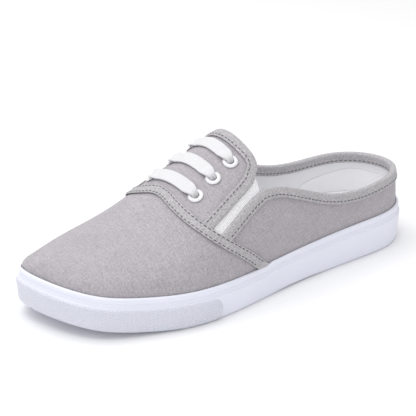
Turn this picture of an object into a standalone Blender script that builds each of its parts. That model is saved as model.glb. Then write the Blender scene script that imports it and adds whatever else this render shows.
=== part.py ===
"""Canvas slip-on shoe with a low back, for the left foot.

Metres. +X points to the toe, +Y to the wearer's left (the outer side of this shoe), +Z up.
The origin is on the floor, at the centre of the shoe's bounding box.

Every piece is worked out on one last. A place on the last is (turn, rise): turn runs round the
sole's outline, 0 at the heel, pi at the toe, the outer side between them, and 2 pi back at the
heel. Rise is 0 at the sole's lip and 1 on the ridge of the instep, and -1 on the sole's floor.
"""

import math

import bmesh
import bpy
import numpy as np
from mathutils import Matrix, Vector

MM = 0.001

# Driving sizes of the sole
SOLE_LENGTH = 270 * MM
BALL_WIDTH = 106 * MM
LIP_HEIGHT = 24 * MM
FLOOR_HEIGHT = 13 * MM
TOE_SPRING = 8 * MM
ARCH_LIFT = 0.6 * MM
SOLE_EDGE_ROUND = 1.2 * MM
SOLE_WALL_FLARE = 1.3 * MM
LIP_STEP = 1.0 * MM
LIP_STEP_STATION = 0.512
LIP_STEP_RUN = 4 * MM
GROOVE_WIDTH = 2.4 * MM
GROOVE_DEPTH = 1.4 * MM
GROOVE_MARGIN = 11 * MM
GROOVE_PITCH = 8 * MM
HEEL_GROOVE_ROWS = 4
FOREFOOT_GROOVE_ROWS = 7
HEEL_GROOVE_STATION = 0.075
FOREFOOT_GROOVE_STATION = 0.515

# Driving sizes of the upper
LIP_THICKNESS = 2.7 * MM
LIP_INNER_DROP = 0.3 * MM
UPPER_WALL = 1.8 * MM
INSTEP_RISE = 68 * MM
QUARTER_SHARE = 0.5956
QUARTER_RISE = QUARTER_SHARE * INSTEP_RISE
RIDGE_OFFSET = 3 * MM

# Tapes, goring, eyelets and laces
CLEARANCE = 0.3 * MM
TAPE_THICKNESS = 0.8 * MM
SEAM_TAPE_WIDTH = 6.6 * MM
BINDING_WIDTH = 5.6 * MM
GORE_THICKNESS = 1.2 * MM
EYELET_HOLE_RADIUS = 2.3 * MM
EYELET_FLANGE_RADIUS = 4.6 * MM
EYELET_BARREL_WALL = 0.4 * MM
EYELET_FLANGE_HEIGHT = 1.0 * MM
LACE_WIDTH = 8.2 * MM
LACE_THICKNESS = 1.3 * MM
LACE_TUCK = 3.4 * MM
LACE_LEAN = 0.5 * MM
LACE_END_FULLNESS = 0.85
LACE_LANDING = 1.9
LACE_STEPS = 4
LACE_EDGE_SHARE = 0.86

# Insole and toe bumper
INSOLE_THICKNESS = 4 * MM
INSOLE_CUP = 2.5 * MM
BUMPER_THICKNESS = 0.9 * MM
BUMPER_START_OUTER = 0.665
BUMPER_START_INNER = 0.69
BUMPER_LIFT = 0.5 * MM
BUMPER_END_BLUNTNESS = 0.12
BUMPER_END_LEAN = 0.2
BUMPER_END_TURN = 0.03
INSOLE_CUP_END = 0.45
INSOLE_CUP_RUN = 0.3

# The inner eyelets sit a little lower on the last than the outer ones, as a share of its rise
INNER_EYELET_DROP = 0.03

# How finely the last is divided: heel to the gores' ends, and on to the toe
SEAM_ROWS = 14
TAPE_LOWEST_RISE = 0.006
SADDLE_BINDING_ROWS = 20
GORE_ROWS = 9
GORE_FIRST_KNOT = 0.06
GORE_LAST_KNOT = 4.3
REAR_COLUMNS = 25
FRONT_COLUMNS = 17
QUARTER_ROWS = 4
SADDLE_ROWS = 9
SADDLE_COLUMNS = 6
EYELET_SEGMENTS = 12

# Sole outline: share of the length from the heel; outer and inner side as shares of the ball width
SOLE_OUTLINE = (
    (0.00, 0.000, 0.000),
    (0.03, 0.190, 0.196),
    (0.10, 0.306, 0.310),
    (0.20, 0.344, 0.348),
    (0.32, 0.370, 0.345),
    (0.44, 0.410, 0.360),
    (0.55, 0.464, 0.420),
    (0.65, 0.506, 0.481),
    (0.75, 0.502, 0.500),
    (0.85, 0.430, 0.452),
    (0.94, 0.304, 0.338),
    (1.00, -0.135, 0.135),
)

# Heights along the sole: share of the length; lip and floor as shares of their heel heights,
# the ground's lift as a share of the toe spring
SOLE_HEIGHTS = (
    (0.00, 1.025, 1.000, 0.00),
    (0.25, 0.985, 0.900, 0.00),
    (0.50, 0.890, 0.720, 0.00),
    (0.62, 0.900, 0.660, 0.00),
    (0.75, 0.922, 0.660, 0.03),
    (0.88, 0.990, 0.820, 0.36),
    (1.00, 1.205, 1.150, 1.00),
)

# Side wall of the sole, from the ledge up over the lip: inset from the outline, and drop below
# the lip's top
LIP_PROFILE = (
    (0.10 * MM, 7.2 * MM),
    (0.00 * MM, 6.6 * MM),
    (0.25 * MM, 6.2 * MM),
    (0.95 * MM, 5.9 * MM),
    (1.00 * MM, 3.9 * MM),
    (1.30 * MM, 3.5 * MM),
    (0.95 * MM, 3.0 * MM),
    (0.90 * MM, 1.6 * MM),
    (1.25 * MM, 0.5 * MM),
    (1.95 * MM, 0.0 * MM),
)

# Toe bumper's section: share of its height, share of its thickness
BUMPER_SECTION = (
    (0.00, 0.35),
    (0.10, 1.00),
    (0.90, 1.00),
    (1.00, 0.35),
)

# Top of the insole: distance in from its edge, share of the cup, drop
INSOLE_PROFILE = (
    (0.0 * MM, 1.00, 0.6 * MM),
    (0.8 * MM, 1.00, 0.0 * MM),
    (5.0 * MM, 0.35, 0.0 * MM),
    (13.0 * MM, 0.00, 0.0 * MM),
)

# Ridge of the last: share of the length, share of the instep rise above the lip, and how far
# its sections spread: 1 is an ellipse, more is slimmer
RIDGE = (
    (0.000, 1.150, 1.55),
    (0.200, 1.150, 1.45),
    (0.380, 1.100, 1.30),
    (0.500, 0.998, 1.05),
    (0.580, 0.842, 1.00),
    (0.660, 0.640, 0.98),
    (0.720, 0.490, 0.96),
    (0.800, 0.352, 0.94),
    (0.880, 0.255, 0.92),
    (0.955, 0.160, 0.90),
)
TOE_TURN_STATION = 0.80
TOE_TURN_PULL = 1.125
TOE_CROWN_STATION = 0.954
TOE_CROWN_TURN = 0.09
TOE_CROWN_RISE = 0.985
HEEL_TURN_STATION = 0.15
HEEL_TURN_PULL = 6.5

# Top edge of the quarters: share of the length, share of the quarter rise above the lip
TOPLINE = (
    (0.000, 0.535),
    (0.060, 0.533),
    (0.120, 0.520),
    (0.180, 0.498),
    (0.240, 0.517),
    (0.300, 0.602),
    (0.360, 0.752),
    (0.420, 0.913),
    (0.455, 0.983),
    (0.485, 1.005),
    (0.507, 0.998),
    (0.541, 0.925),
    (0.580, 0.797),
    (0.645, 0.572),
)

# Edge of the laced saddle, from the gore's end round its corner to the ridge: share of the
# length, rise
SADDLE_EDGE = (
    (0.645, 0.452),
    (0.600, 0.469),
    (0.564, 0.485),
    (0.531, 0.500),
    (0.510, 0.523),
    (0.494, 0.565),
    (0.490, 0.612),
    (0.492, 0.697),
    (0.496, 0.808),
    (0.499, 1.000),
)
SADDLE_CORNER = 5

# Middle of the seam tape, from just under the lip to the ridge: share of the length, rise
SEAM = (
    (0.523, -0.015),
    (0.529, 0.000),
    (0.584, 0.136),
    (0.633, 0.288),
    (0.665, 0.458),
    (0.682, 0.660),
    (0.682, 0.819),
    (0.677, 0.930),
    (0.6755, 1.000),
)

# A lace as it leaves its eyelet: share of the flange's reach, lift over the flange, share of width
LACE_SPREAD = (
    (0.45, 0.35 * MM, 0.66),
    (1.10, 0.00 * MM, 0.90),
)

# Eyelets: share of the length, rise
EYELETS = (
    (0.641, 0.728),
    (0.591, 0.729),
    (0.540, 0.731),
)


def spline(knots, values, period=None):
    """A smooth cubic curve through the values; with a period it closes on itself."""
    knots = np.asarray(knots, float)
    values = np.asarray(values, float)
    if period:
        knots = np.concatenate([knots[-4:] - period, knots, knots[:4] + period])
        values = np.concatenate([values[-4:], values, values[:4]])
    steps = np.diff(knots)
    slopes = np.diff(values) / steps
    count = len(knots)
    matrix = np.eye(count)
    right = np.zeros(count)
    for k in range(1, count - 1):
        matrix[k, k - 1 : k + 2] = steps[k - 1], 2 * (steps[k - 1] + steps[k]), steps[k]
        right[k] = 6 * (slopes[k] - slopes[k - 1])
    bends = np.linalg.solve(matrix, right)

    def at(place):
        place = np.asarray(place, float)
        if period:
            place = np.mod(place, period)
        k = np.clip(np.searchsorted(knots, place) - 1, 0, count - 2)
        step = steps[k]
        ahead = (knots[k + 1] - place) / step
        behind = (place - knots[k]) / step
        bend = (ahead**3 - ahead) * bends[k] + (behind**3 - behind) * bends[k + 1]
        return ahead * values[k] + behind * values[k + 1] + bend * step**2 / 6

    return at


def columns_of(table):
    """A table's columns as arrays."""
    return [np.array(column) for column in zip(*table)]


def smooth_step(share):
    share = np.clip(share, 0, 1)
    return share * share * (3 - 2 * share)


def station_of(turn):
    """Share of the sole's length from the heel."""
    return (1 - np.cos(turn)) / 2


def turn_of(station):
    """The turn of a station on the outer side."""
    return np.arccos(1 - 2 * np.clip(station, 0, 1))


def outline_curve():
    stations, outer, inner = columns_of(SOLE_OUTLINE)
    turns = turn_of(stations)
    knots = np.concatenate([turns, 2 * math.pi - turns[-2:0:-1]])
    sides = np.concatenate([outer, -inner[-2:0:-1]]) * BALL_WIDTH
    return spline(knots, sides, period=2 * math.pi)


outline_y = outline_curve()
station_table, lip_shares, floor_shares, ground_shares = columns_of(SOLE_HEIGHTS)
lip_share = spline(station_table, lip_shares)
floor_share = spline(station_table, floor_shares)
ground_share = spline(station_table, ground_shares)
ridge_stations, ridge_shares, ridge_spreads = columns_of(RIDGE)
ridge_share = spline(ridge_stations, ridge_shares)
ridge_spread = spline(ridge_stations, ridge_spreads)


def outline(turn, inset=0.0):
    """The sole's outline from above, moved inwards by inset."""
    turn = np.asarray(turn, float)
    nudge = 1e-4

    def place(at):
        return np.stack([SOLE_LENGTH * station_of(at), outline_y(at)], -1)

    along = place(turn + nudge) - place(turn - nudge)
    inward = np.stack([along[..., 1], -along[..., 0]], -1)
    inward /= np.linalg.norm(inward, axis=-1, keepdims=True)
    return place(turn) + inward * np.asarray(inset)[..., None]


def ground_height(station):
    """Underside of the sole: flat at heel and forefoot, lifted at the arch and the toe."""
    arch = ARCH_LIFT * smooth_step((station - 0.30) / 0.08) * smooth_step((0.52 - station) / 0.08)
    spring = TOE_SPRING * np.clip(ground_share(station), 0, None) * (station > 0.62)
    return arch + spring


def lip_height(station):
    """Top of the sole's lip, a step lower in front of the seam."""
    step = smooth_step((station - LIP_STEP_STATION) * SOLE_LENGTH / LIP_STEP_RUN + 0.5)
    return LIP_HEIGHT * lip_share(station) - LIP_STEP * step * smooth_step((0.9 - station) / 0.2)


def floor_height(station):
    """Floor of the cup that the insole lies on."""
    return FLOOR_HEIGHT * floor_share(station)


def crown_height(station):
    """Height of the ridge of the instep."""
    return lip_height(station) + INSTEP_RISE * ridge_share(station)


def last_point(turn, rise):
    """A place on the outside of the upper."""
    turn, rise = np.broadcast_arrays(np.asarray(turn, float), np.asarray(rise, float))
    station = station_of(turn)
    toe_pull = TOE_TURN_PULL * np.clip(station - TOE_TURN_STATION, 0, None) ** 2
    heel_pull = HEEL_TURN_PULL * np.clip(HEEL_TURN_STATION - station, 0, None) ** 2
    top = np.minimum(station - toe_pull + heel_pull, TOE_CROWN_STATION)
    foot = outline(turn, LIP_THICKNESS + CLEARANCE)
    lip = lip_height(station)
    crown = np.stack([SOLE_LENGTH * top, np.full_like(top, -RIDGE_OFFSET) * smooth_step(top * 4)], -1)
    height_of_crown = crown_height(top)
    nudge = 1e-3
    fall = (crown_height(top + nudge) - crown_height(top - nudge)) / (2 * nudge * SOLE_LENGTH)
    angle = np.clip(rise, 0, None) * math.pi / 2
    spread = np.cos(angle)
    spread = np.sign(spread) * np.abs(spread) ** ridge_spread(top)
    plan = crown + (foot - crown) * spread[..., None]
    height = lip + (height_of_crown - lip) * np.sin(angle)
    height += fall * (plan[..., 0] - crown[..., 0]) * np.sin(angle) ** 2 * (top > TOE_TURN_STATION)
    sunk = np.clip(rise, None, 0) * (lip - floor_height(station) - CLEARANCE)
    return np.concatenate([plan, (height + sunk)[..., None]], -1)


def slopes_at(turn, rise):
    """How a place on the last moves with turn and with rise."""
    nudge = 1e-4
    turn, rise = np.asarray(turn, float), np.asarray(rise, float)
    at_toe = np.abs(turn - math.pi) < TOE_CROWN_TURN
    rise = np.where(at_toe, np.minimum(rise, TOE_CROWN_RISE), rise)
    by_turn = (last_point(turn + nudge, rise) - last_point(turn - nudge, rise)) / (2 * nudge)
    by_rise = (last_point(turn, rise + nudge) - last_point(turn, rise - nudge)) / (2 * nudge)
    return by_turn, by_rise


def last_normal(turn, rise):
    """The direction out of the last."""
    by_turn, by_rise = slopes_at(turn, rise)
    normal = np.cross(by_rise, by_turn)
    return normal / np.linalg.norm(normal, axis=-1, keepdims=True)


def walk(turn, rise, direction, distance, strides=5):
    """The (turn, rise) reached by walking over the last along a direction."""
    for _ in range(strides):
        by_turn, by_rise = slopes_at(turn, rise)
        normal = last_normal(turn, rise)
        step = direction - normal * (direction @ normal)
        step *= distance / strides / np.linalg.norm(step)
        moved = np.linalg.lstsq(np.stack([by_turn, by_rise], -1), step, rcond=None)[0]
        turn, rise = turn + moved[0], rise + moved[1]
    return turn, rise


def rise_of(share):
    """The rise at which a section has this share of its height."""
    return np.arcsin(np.clip(share, 0, 1)) * 2 / math.pi


def topline_rise(station):
    """Rise of the quarters' top edge."""
    stations, shares = columns_of(TOPLINE)
    height = QUARTER_RISE * spline(stations, shares)(station)
    return rise_of(height / (INSTEP_RISE * ridge_share(station)))


def even_curve(points, count, start=0.0, end=None):
    """Places spread along a smooth curve through the points, from one knot to another."""
    points = np.array(points, float)
    weights = np.array([SOLE_LENGTH, INSTEP_RISE * math.pi / 2])
    knots = np.concatenate([[0], np.cumsum(np.linalg.norm(np.diff(points, axis=0) * weights, axis=1))])
    end = len(points) - 1 if end is None else end
    order = range(len(knots))
    places = np.linspace(np.interp(start, order, knots), np.interp(end, order, knots), count)
    return np.stack([spline(knots, points[:, k])(places) for k in (0, 1)], -1)


def saddle_edge(count, start, end):
    """(turn, rise) along the saddle's edge on the outer side."""
    curve = even_curve(SADDLE_EDGE, count, start, end)
    return np.stack([turn_of(curve[:, 0]), curve[:, 1]], -1)


def other_side(places):
    """The same places on the inner side of the shoe."""
    return np.stack([2 * math.pi - places[..., 0], places[..., 1]], -1)


GORE_END = SADDLE_EDGE[0][0]
REAR_TURNS = np.linspace(0, turn_of(GORE_END), REAR_COLUMNS + 1)
FRONT_TURNS = np.linspace(turn_of(GORE_END), math.pi, FRONT_COLUMNS + 1)
OUTER_TURNS = np.concatenate([REAR_TURNS, FRONT_TURNS[1:]])
ALL_TURNS = np.concatenate([OUTER_TURNS, 2 * math.pi - OUTER_TURNS[-2:0:-1]])


def material(name, colour, roughness):
    made = bpy.data.materials.new(name)
    made.use_nodes = True
    shader = made.node_tree.nodes["Principled BSDF"]
    shader.inputs["Base Color"].default_value = (*colour, 1)
    shader.inputs["Roughness"].default_value = roughness
    shader.inputs["Metallic"].default_value = 0.0
    made.diffuse_color = (*colour, 1)
    return made


CANVAS = material("grey_canvas", (0.42, 0.40, 0.41), 0.9)
TAPE = material("grey_tape", (0.48, 0.48, 0.48), 0.9)
SOLE_WHITE = material("white_sole", (0.86, 0.86, 0.92), 0.45)
ELASTIC = material("white_elastic", (0.85, 0.85, 0.87), 0.85)
ENAMEL = material("white_enamel", (0.90, 0.90, 0.93), 0.3)
COTTON = material("white_cotton", (0.88, 0.88, 0.90), 0.9)
FOOTBED = material("white_footbed", (0.84, 0.84, 0.86), 0.8)


def solid(name, vertices, faces, finish):
    """A named object from a closed mesh, its faces turned outwards."""
    mesh = bpy.data.meshes.new(name)
    mesh.from_pydata([tuple(vertex) for vertex in vertices], [], faces)
    shape = bmesh.new()
    shape.from_mesh(mesh)
    bmesh.ops.remove_doubles(shape, verts=shape.verts, dist=0.002 * MM)
    bmesh.ops.recalc_face_normals(shape, faces=shape.faces)
    shape.to_mesh(mesh)
    shape.free()
    mesh.shade_smooth()
    mesh.set_sharp_from_angle(angle=math.radians(40))
    mesh.materials.append(finish)
    made = bpy.data.objects.new(name, mesh)
    bpy.context.scene.collection.objects.link(made)
    return made


def lasted_sheet(name, grids, low, high, finish):
    """A sheet cut from the last: grids of (turn, rise) joined where they meet, from low to high
    above the last's surface."""
    index = {}
    places = []
    quads = []
    for grid in grids:
        points = last_point(grid[..., 0], grid[..., 1])
        keys = [[tuple(np.round(point / (0.01 * MM)).astype(int)) for point in row] for row in points]
        for i, row in enumerate(keys):
            for j, key in enumerate(row):
                if key not in index:
                    index[key] = len(places)
                    places.append(grid[i, j])
        for i in range(len(keys) - 1):
            for j in range(len(keys[0]) - 1):
                ring = [index[keys[a][b]] for a, b in ((i, j), (i + 1, j), (i + 1, j + 1), (i, j + 1))]
                ring = [k for n, k in enumerate(ring) if k != ring[n - 1]]
                if len(ring) > 2:
                    quads.append(ring)
    places = np.array(places)
    points = last_point(places[:, 0], places[:, 1])
    normals = last_normal(places[:, 0], places[:, 1])
    count = len(places)
    vertices = np.concatenate([points + normals * high, points + normals * low])
    sides = {}
    for ring in quads:
        for k, start in enumerate(ring):
            end = ring[(k + 1) % len(ring)]
            sides[frozenset((start, end))] = None if frozenset((start, end)) in sides else (start, end)
    faces = [list(ring) for ring in quads] + [[k + count for k in reversed(ring)] for ring in quads]
    faces += [[end, start, start + count, end + count] for start, end in filter(None, sides.values())]
    return solid(name, vertices, faces, finish)


def swept(name, rings, finish, closed=False):
    """A solid from rings of points joined one to the next, capped at its ends."""
    rings = np.array(rings)
    count, around = rings.shape[:2]
    faces = []
    for i in range(count if closed else count - 1):
        ahead = (i + 1) % count
        for j in range(around):
            after = (j + 1) % around
            faces.append([i * around + j, ahead * around + j, ahead * around + after, i * around + after])
    if not closed:
        faces.append(list(range(around)))
        faces.append([(count - 1) * around + j for j in reversed(range(around))])
    return solid(name, rings.reshape(-1, 3), faces, finish)


def capped_stack(name, loops, finish):
    """A solid from loops round the outline, closed at both ends by strips from side to side."""
    loops = np.array(loops)
    count, around = loops.shape[:2]
    faces = []
    for i in range(count - 1):
        for j in range(around):
            here, after = i * around + j, i * around + (j + 1) % around
            faces.append([here, after, after + around, here + around])
    for first in (0, (count - 1) * around):
        for j in range(around // 2):
            back, ahead = (around - j) % around, around - j - 1
            ring = [first + j, first + j + 1, first + ahead, first + back]
            faces.append(list(dict.fromkeys(ring)))
    return solid(name, loops.reshape(-1, 3), faces, finish)


def outline_loop(inset, height):
    """A loop round the sole at an inset from its outline and a height for each station."""
    plan = outline(ALL_TURNS, inset)
    return np.concatenate([plan, np.broadcast_to(height, ALL_TURNS.shape)[:, None]], -1)


def wall_inset(height, ground, ledge):
    """How far the sole's side wall lies inside its outline, more towards the ground."""
    return SOLE_WALL_FLARE * (1 - np.clip((height - ground) / (ledge - ground), 0, 1))


def build_outsole():
    station = station_of(ALL_TURNS)
    ground, lip, floor = ground_height(station), lip_height(station), floor_height(station)
    ledge = lip - LIP_PROFILE[0][1]
    round_over = SOLE_EDGE_ROUND * (1 - math.sqrt(0.5))
    loops = [
        outline_loop(SOLE_WALL_FLARE + SOLE_EDGE_ROUND, ground),
        outline_loop(SOLE_WALL_FLARE + round_over, ground + round_over),
        outline_loop(SOLE_WALL_FLARE, ground + SOLE_EDGE_ROUND),
    ]
    loops += [outline_loop(inset, lip - drop) for inset, drop in LIP_PROFILE]
    loops += [outline_loop(LIP_THICKNESS, lip - LIP_INNER_DROP), outline_loop(LIP_THICKNESS, floor)]
    sole = capped_stack("outsole", loops, SOLE_WHITE)
    cut_tread(sole)
    return sole


def cut_tread(sole):
    """Cross grooves under the heel and the forefoot, kept inside the sole's edge."""
    fields = (
        (HEEL_GROOVE_STATION, HEEL_GROOVE_ROWS),
        (FOREFOOT_GROOVE_STATION, FOREFOOT_GROOVE_ROWS),
    )
    cutters = bmesh.new()
    for first, rows in fields:
        for k in range(rows):
            station = first + k * GROOVE_PITCH / SOLE_LENGTH
            turn = turn_of(station)
            left = outline(turn)[1] - GROOVE_MARGIN
            right = outline(2 * math.pi - turn)[1] + GROOVE_MARGIN
            made = bmesh.ops.create_cube(cutters, size=1)["verts"]
            bmesh.ops.scale(cutters, verts=made, vec=(GROOVE_WIDTH, left - right, 2 * GROOVE_DEPTH))
            centre = (SOLE_LENGTH * station, (left + right) / 2, float(ground_height(station)))
            bmesh.ops.translate(cutters, verts=made, vec=centre)
    cut_with(sole, cutters, "tread_cutter")


def cut_by(target, cutter):
    """Cuts one object out of another."""
    cutter.hide_render = True
    cutter.display_type = "WIRE"
    cut = target.modifiers.new(cutter.name, "BOOLEAN")
    cut.operation = "DIFFERENCE"
    cut.solver = "EXACT"
    cut.object = cutter


def cut_with(target, shapes, name):
    """Cuts closed shapes out of an object."""
    mesh = bpy.data.meshes.new(name)
    shapes.to_mesh(mesh)
    shapes.free()
    cutter = bpy.data.objects.new(name, mesh)
    bpy.context.scene.collection.objects.link(cutter)
    cut_by(target, cutter)


def build_bumper():
    """Raised strip round the toe, between the ground and the ledge, with rounded ends."""
    first = turn_of(BUMPER_START_OUTER)
    last = 2 * math.pi - turn_of(BUMPER_START_INNER)
    between = (ALL_TURNS > first + BUMPER_END_TURN) & (ALL_TURNS < last - BUMPER_END_TURN)
    turns = np.concatenate([[first], ALL_TURNS[between], [last]])
    station = station_of(turns)
    ground = ground_height(station) + BUMPER_LIFT
    ledge = lip_height(station) - LIP_PROFILE[1][1]
    path = outline(turns)
    walked = np.concatenate([[0], np.cumsum(np.linalg.norm(np.diff(path, axis=0), axis=1))])
    to_end = np.minimum(walked, walked[-1] - walked)
    radius = (ledge - ground) / 2
    round_share = 1 - np.clip(to_end / radius, BUMPER_END_BLUNTNESS, 1)
    drop = radius * (1 - np.sqrt(1 - round_share**2))
    rings = []
    shares, proud = columns_of(BUMPER_SECTION)
    for k, turn in enumerate(turns):
        low = ground[k] + drop[k] * BUMPER_END_LEAN
        high = ledge[k] - drop[k]
        heights = [low + (high - low) * share for share in shares]
        bottom, top = ground_height(station[k]), lip_height(station[k]) - LIP_PROFILE[0][1]
        back = [wall_inset(height, bottom, top) - CLEARANCE for height in heights]
        front = [inset - BUMPER_THICKNESS * share for inset, share in zip(back, proud)]
        ring = [(*outline(turn, inset), height) for inset, height in zip(front, heights)]
        ring += [(*outline(turn, inset), height) for inset, height in zip(back[::-1], heights[::-1])]
        rings.append(ring)
    return swept("toe_bumper", rings, SOLE_WHITE)


def build_insole():
    """Footbed on the cup's floor inside the upper, its edge raised a little round the heel."""
    station = station_of(ALL_TURNS)
    edge = LIP_THICKNESS + CLEARANCE + UPPER_WALL + CLEARANCE
    bottom = floor_height(station) + CLEARANCE
    top = bottom + INSOLE_THICKNESS
    cup = INSOLE_CUP * smooth_step((INSOLE_CUP_END - station) / INSOLE_CUP_RUN)
    loops = [outline_loop(edge, bottom)]
    loops += [outline_loop(edge + inset, top + cup * share - drop) for inset, share, drop in INSOLE_PROFILE]
    return capped_stack("insole", loops, FOOTBED)


def build_upper():
    """Vamp, laced saddle and quarters as one hollow wall, open at the collar, the gores and
    underneath."""
    rows, along, across = QUARTER_ROWS, SADDLE_ROWS, SADDLE_COLUMNS
    rear = np.concatenate([2 * math.pi - REAR_TURNS[:0:-1], REAR_TURNS + 2 * math.pi])
    quarter = []
    for turn in rear:
        edge = float(topline_rise(station_of(turn)))
        rises = [-1.0, *np.linspace(0, edge, rows)]
        quarter.append([(turn % (2 * math.pi), rise) for rise in rises])
    front_edge = saddle_edge(1, 0, 0)[0]
    lateral = saddle_edge(along + 1, 0, SADDLE_CORNER)
    rear_edge = saddle_edge(across + 1, SADDLE_CORNER, len(SADDLE_EDGE) - 1)
    front = np.stack([np.full(across + 1, front_edge[0]), np.linspace(front_edge[1], 1, across + 1)], -1)
    ridge = np.stack([np.linspace(front_edge[0], rear_edge[-1, 0], along + 1), np.ones(along + 1)], -1)
    saddle = coons(lateral, ridge, front, rear_edge)
    slot = [float(topline_rise(GORE_END)), float(front_edge[1])]
    at_gore = np.array([-1.0, *np.linspace(0, slot[0], rows), *np.linspace(slot[1], 1, across + 1)])
    at_toe = np.array([-1.0, *np.linspace(0, 1, rows + across + 1)])
    vamp = []
    for turn in FRONT_TURNS:
        ease = smooth_step((turn - FRONT_TURNS[0]) / (math.pi - FRONT_TURNS[0]))
        vamp.append([(turn, rise) for rise in at_gore + (at_toe - at_gore) * ease])
    vamp = np.array(vamp)
    grids = [np.array(quarter), saddle, other_side(saddle), vamp, other_side(vamp)]
    upper = lasted_sheet("upper", grids, -UPPER_WALL, 0.0, CANVAS)
    pierce_eyelets(upper)
    return upper


def coons(low, high, front, rear):
    """A patch of places between four edges that meet at their ends."""
    count_a, count_b = len(low), len(front)
    a = np.linspace(0, 1, count_a)[:, None, None]
    b = np.linspace(0, 1, count_b)[None, :, None]
    corners = (1 - a) * (1 - b) * low[0] + (1 - a) * b * high[0] + a * (1 - b) * low[-1] + a * b * high[-1]
    return (1 - b) * low[:, None] + b * high[:, None] + (1 - a) * front[None] + a * rear[None] - corners


def eyelet_places():
    """(turn, rise) of each eyelet: outer side from the front, then inner side."""
    outer = np.array([(turn_of(station), rise) for station, rise in EYELETS])
    return list(outer) + list(other_side(outer - [0, INNER_EYELET_DROP]))


def frame_at(turn, rise):
    """Point on the last, its normal, the way forward along the surface, and across."""
    point, normal = last_point(turn, rise), last_normal(turn, rise)
    forward = np.array([1.0, 0, 0]) - normal * normal[0]
    forward /= np.linalg.norm(forward)
    return point, normal, forward, np.cross(normal, forward)


def lathe_rings(turn, rise, profile, segments):
    """Rings round the last's normal from (radius, height) pairs."""
    point, normal, forward, across = frame_at(turn, rise)
    rings = []
    for k in range(segments):
        angle = 2 * math.pi * k / segments
        spoke = forward * math.cos(angle) + across * math.sin(angle)
        rings.append([point + spoke * radius + normal * height for radius, height in profile])
    return rings


def pierce_eyelets(upper):
    """Holes through the upper for the eyelets' barrels."""
    radius = EYELET_HOLE_RADIUS + EYELET_BARREL_WALL + CLEARANCE
    cutters = bmesh.new()
    for turn, rise in eyelet_places():
        point, normal, _, _ = frame_at(turn, rise)
        turned = Vector(normal).to_track_quat("Z", "Y").to_matrix().to_4x4()
        turned.translation = Vector(point)
        size = {"radius1": radius, "radius2": radius, "depth": 8 * UPPER_WALL}
        bmesh.ops.create_cone(cutters, cap_ends=True, segments=EYELET_SEGMENTS, matrix=turned, **size)
    cut_with(upper, cutters, "eyelet_cutter")


def build_eyelets():
    """A ring on the upper with a barrel through it, for each lace hole."""
    hole, flange = EYELET_HOLE_RADIUS, EYELET_FLANGE_RADIUS
    barrel = hole + EYELET_BARREL_WALL
    seat = CLEARANCE
    top = seat + EYELET_FLANGE_HEIGHT
    profile = (
        (hole, -UPPER_WALL - CLEARANCE),
        (barrel, -UPPER_WALL - CLEARANCE),
        (barrel, seat),
        (flange, seat),
        (flange, seat + 0.45 * EYELET_FLANGE_HEIGHT),
        ((hole + flange) / 2, top),
        (hole, seat + 0.55 * EYELET_FLANGE_HEIGHT),
    )
    names = [f"eyelet_{side}_{k}" for side in ("outer", "inner") for k in (1, 2, 3)]
    for name, (turn, rise) in zip(names, eyelet_places()):
        swept(name, lathe_rings(turn, rise, profile, EYELET_SEGMENTS), ENAMEL, closed=True)


def lace_half(turn, rise, forward_sign):
    """Stops of a lace from inside an eyelet up to the ridge: middle, way forward, width."""
    over_flange = 2 * CLEARANCE + EYELET_FLANGE_HEIGHT
    half = LACE_THICKNESS / 2
    end_width = 2 * (EYELET_HOLE_RADIUS - CLEARANCE) * LACE_END_FULLNESS
    centre, normal, forward, across = frame_at(turn, rise)
    inward = -across * forward_sign
    stops = [
        (centre + normal * (half - LACE_TUCK), forward, end_width),
        (centre + normal * half, forward, end_width),
        (centre + inward * LACE_LEAN + normal * (half + over_flange - LACE_LEAN), forward, end_width),
    ]
    reach = EYELET_FLANGE_RADIUS / np.linalg.norm(slopes_at(turn, rise)[1])
    first = rise + LACE_LANDING * reach
    places = [(rise + reach * share, over_flange + lift, width) for share, lift, width in LACE_SPREAD]
    rest_height = 2 * CLEARANCE
    places += [(first + (1 - first) * step / LACE_STEPS, rest_height, 1.0) for step in range(LACE_STEPS + 1)]
    for place, height, width in places:
        point, normal, forward, _ = frame_at(turn, place)
        stops.append((point + normal * (height + half), forward, LACE_WIDTH * width))
    return stops


def build_laces():
    """A flat lace across the saddle between each pair of eyelets, its ends down through them."""
    pairs = eyelet_places()
    lift, edge = LACE_THICKNESS / 2, LACE_EDGE_SHARE
    for k in range(len(EYELETS)):
        (turn, rise), (inner_turn, inner_rise) = pairs[k], pairs[k + len(EYELETS)]
        stops = lace_half(turn, rise, 1) + lace_half(inner_turn, inner_rise, -1)[-2::-1]
        along = np.gradient(np.array([stop[0] for stop in stops]), axis=0)
        rings = []
        for (middle, forward, width), run in zip(stops, along):
            up = np.cross(forward, run)
            up *= lift / np.linalg.norm(up)
            side = forward * width / 2
            shape = ((edge, -1), (1, 0), (edge, 1), (-edge, 1), (-1, 0), (-edge, -1))
            rings.append([middle + side * across + up * height for across, height in shape])
        swept(f"lace_{k + 1}", rings, COTTON)


def seam_grid(front, back):
    """(turn, rise) rows across the seam, from a distance in front of it to one behind it."""
    curve = even_curve(SEAM, SEAM_ROWS)
    outer = np.stack([turn_of(curve[:, 0]), curve[:, 1]], -1)
    path = np.concatenate([outer, other_side(outer)[-2::-1]])
    along = np.gradient(last_point(path[:, 0], path[:, 1]), axis=0)
    grid = []
    for (turn, rise), run in zip(path, along):
        sideways = np.cross(last_normal(turn, rise), run)
        sideways *= np.sign(sideways[0])
        grid.append([walk(turn, rise, sideways, front), (turn, rise), walk(turn, rise, -sideways, back)])
    grid = np.array(grid)
    grid[..., 1] = np.maximum(grid[..., 1], TAPE_LOWEST_RISE)
    return grid


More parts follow.
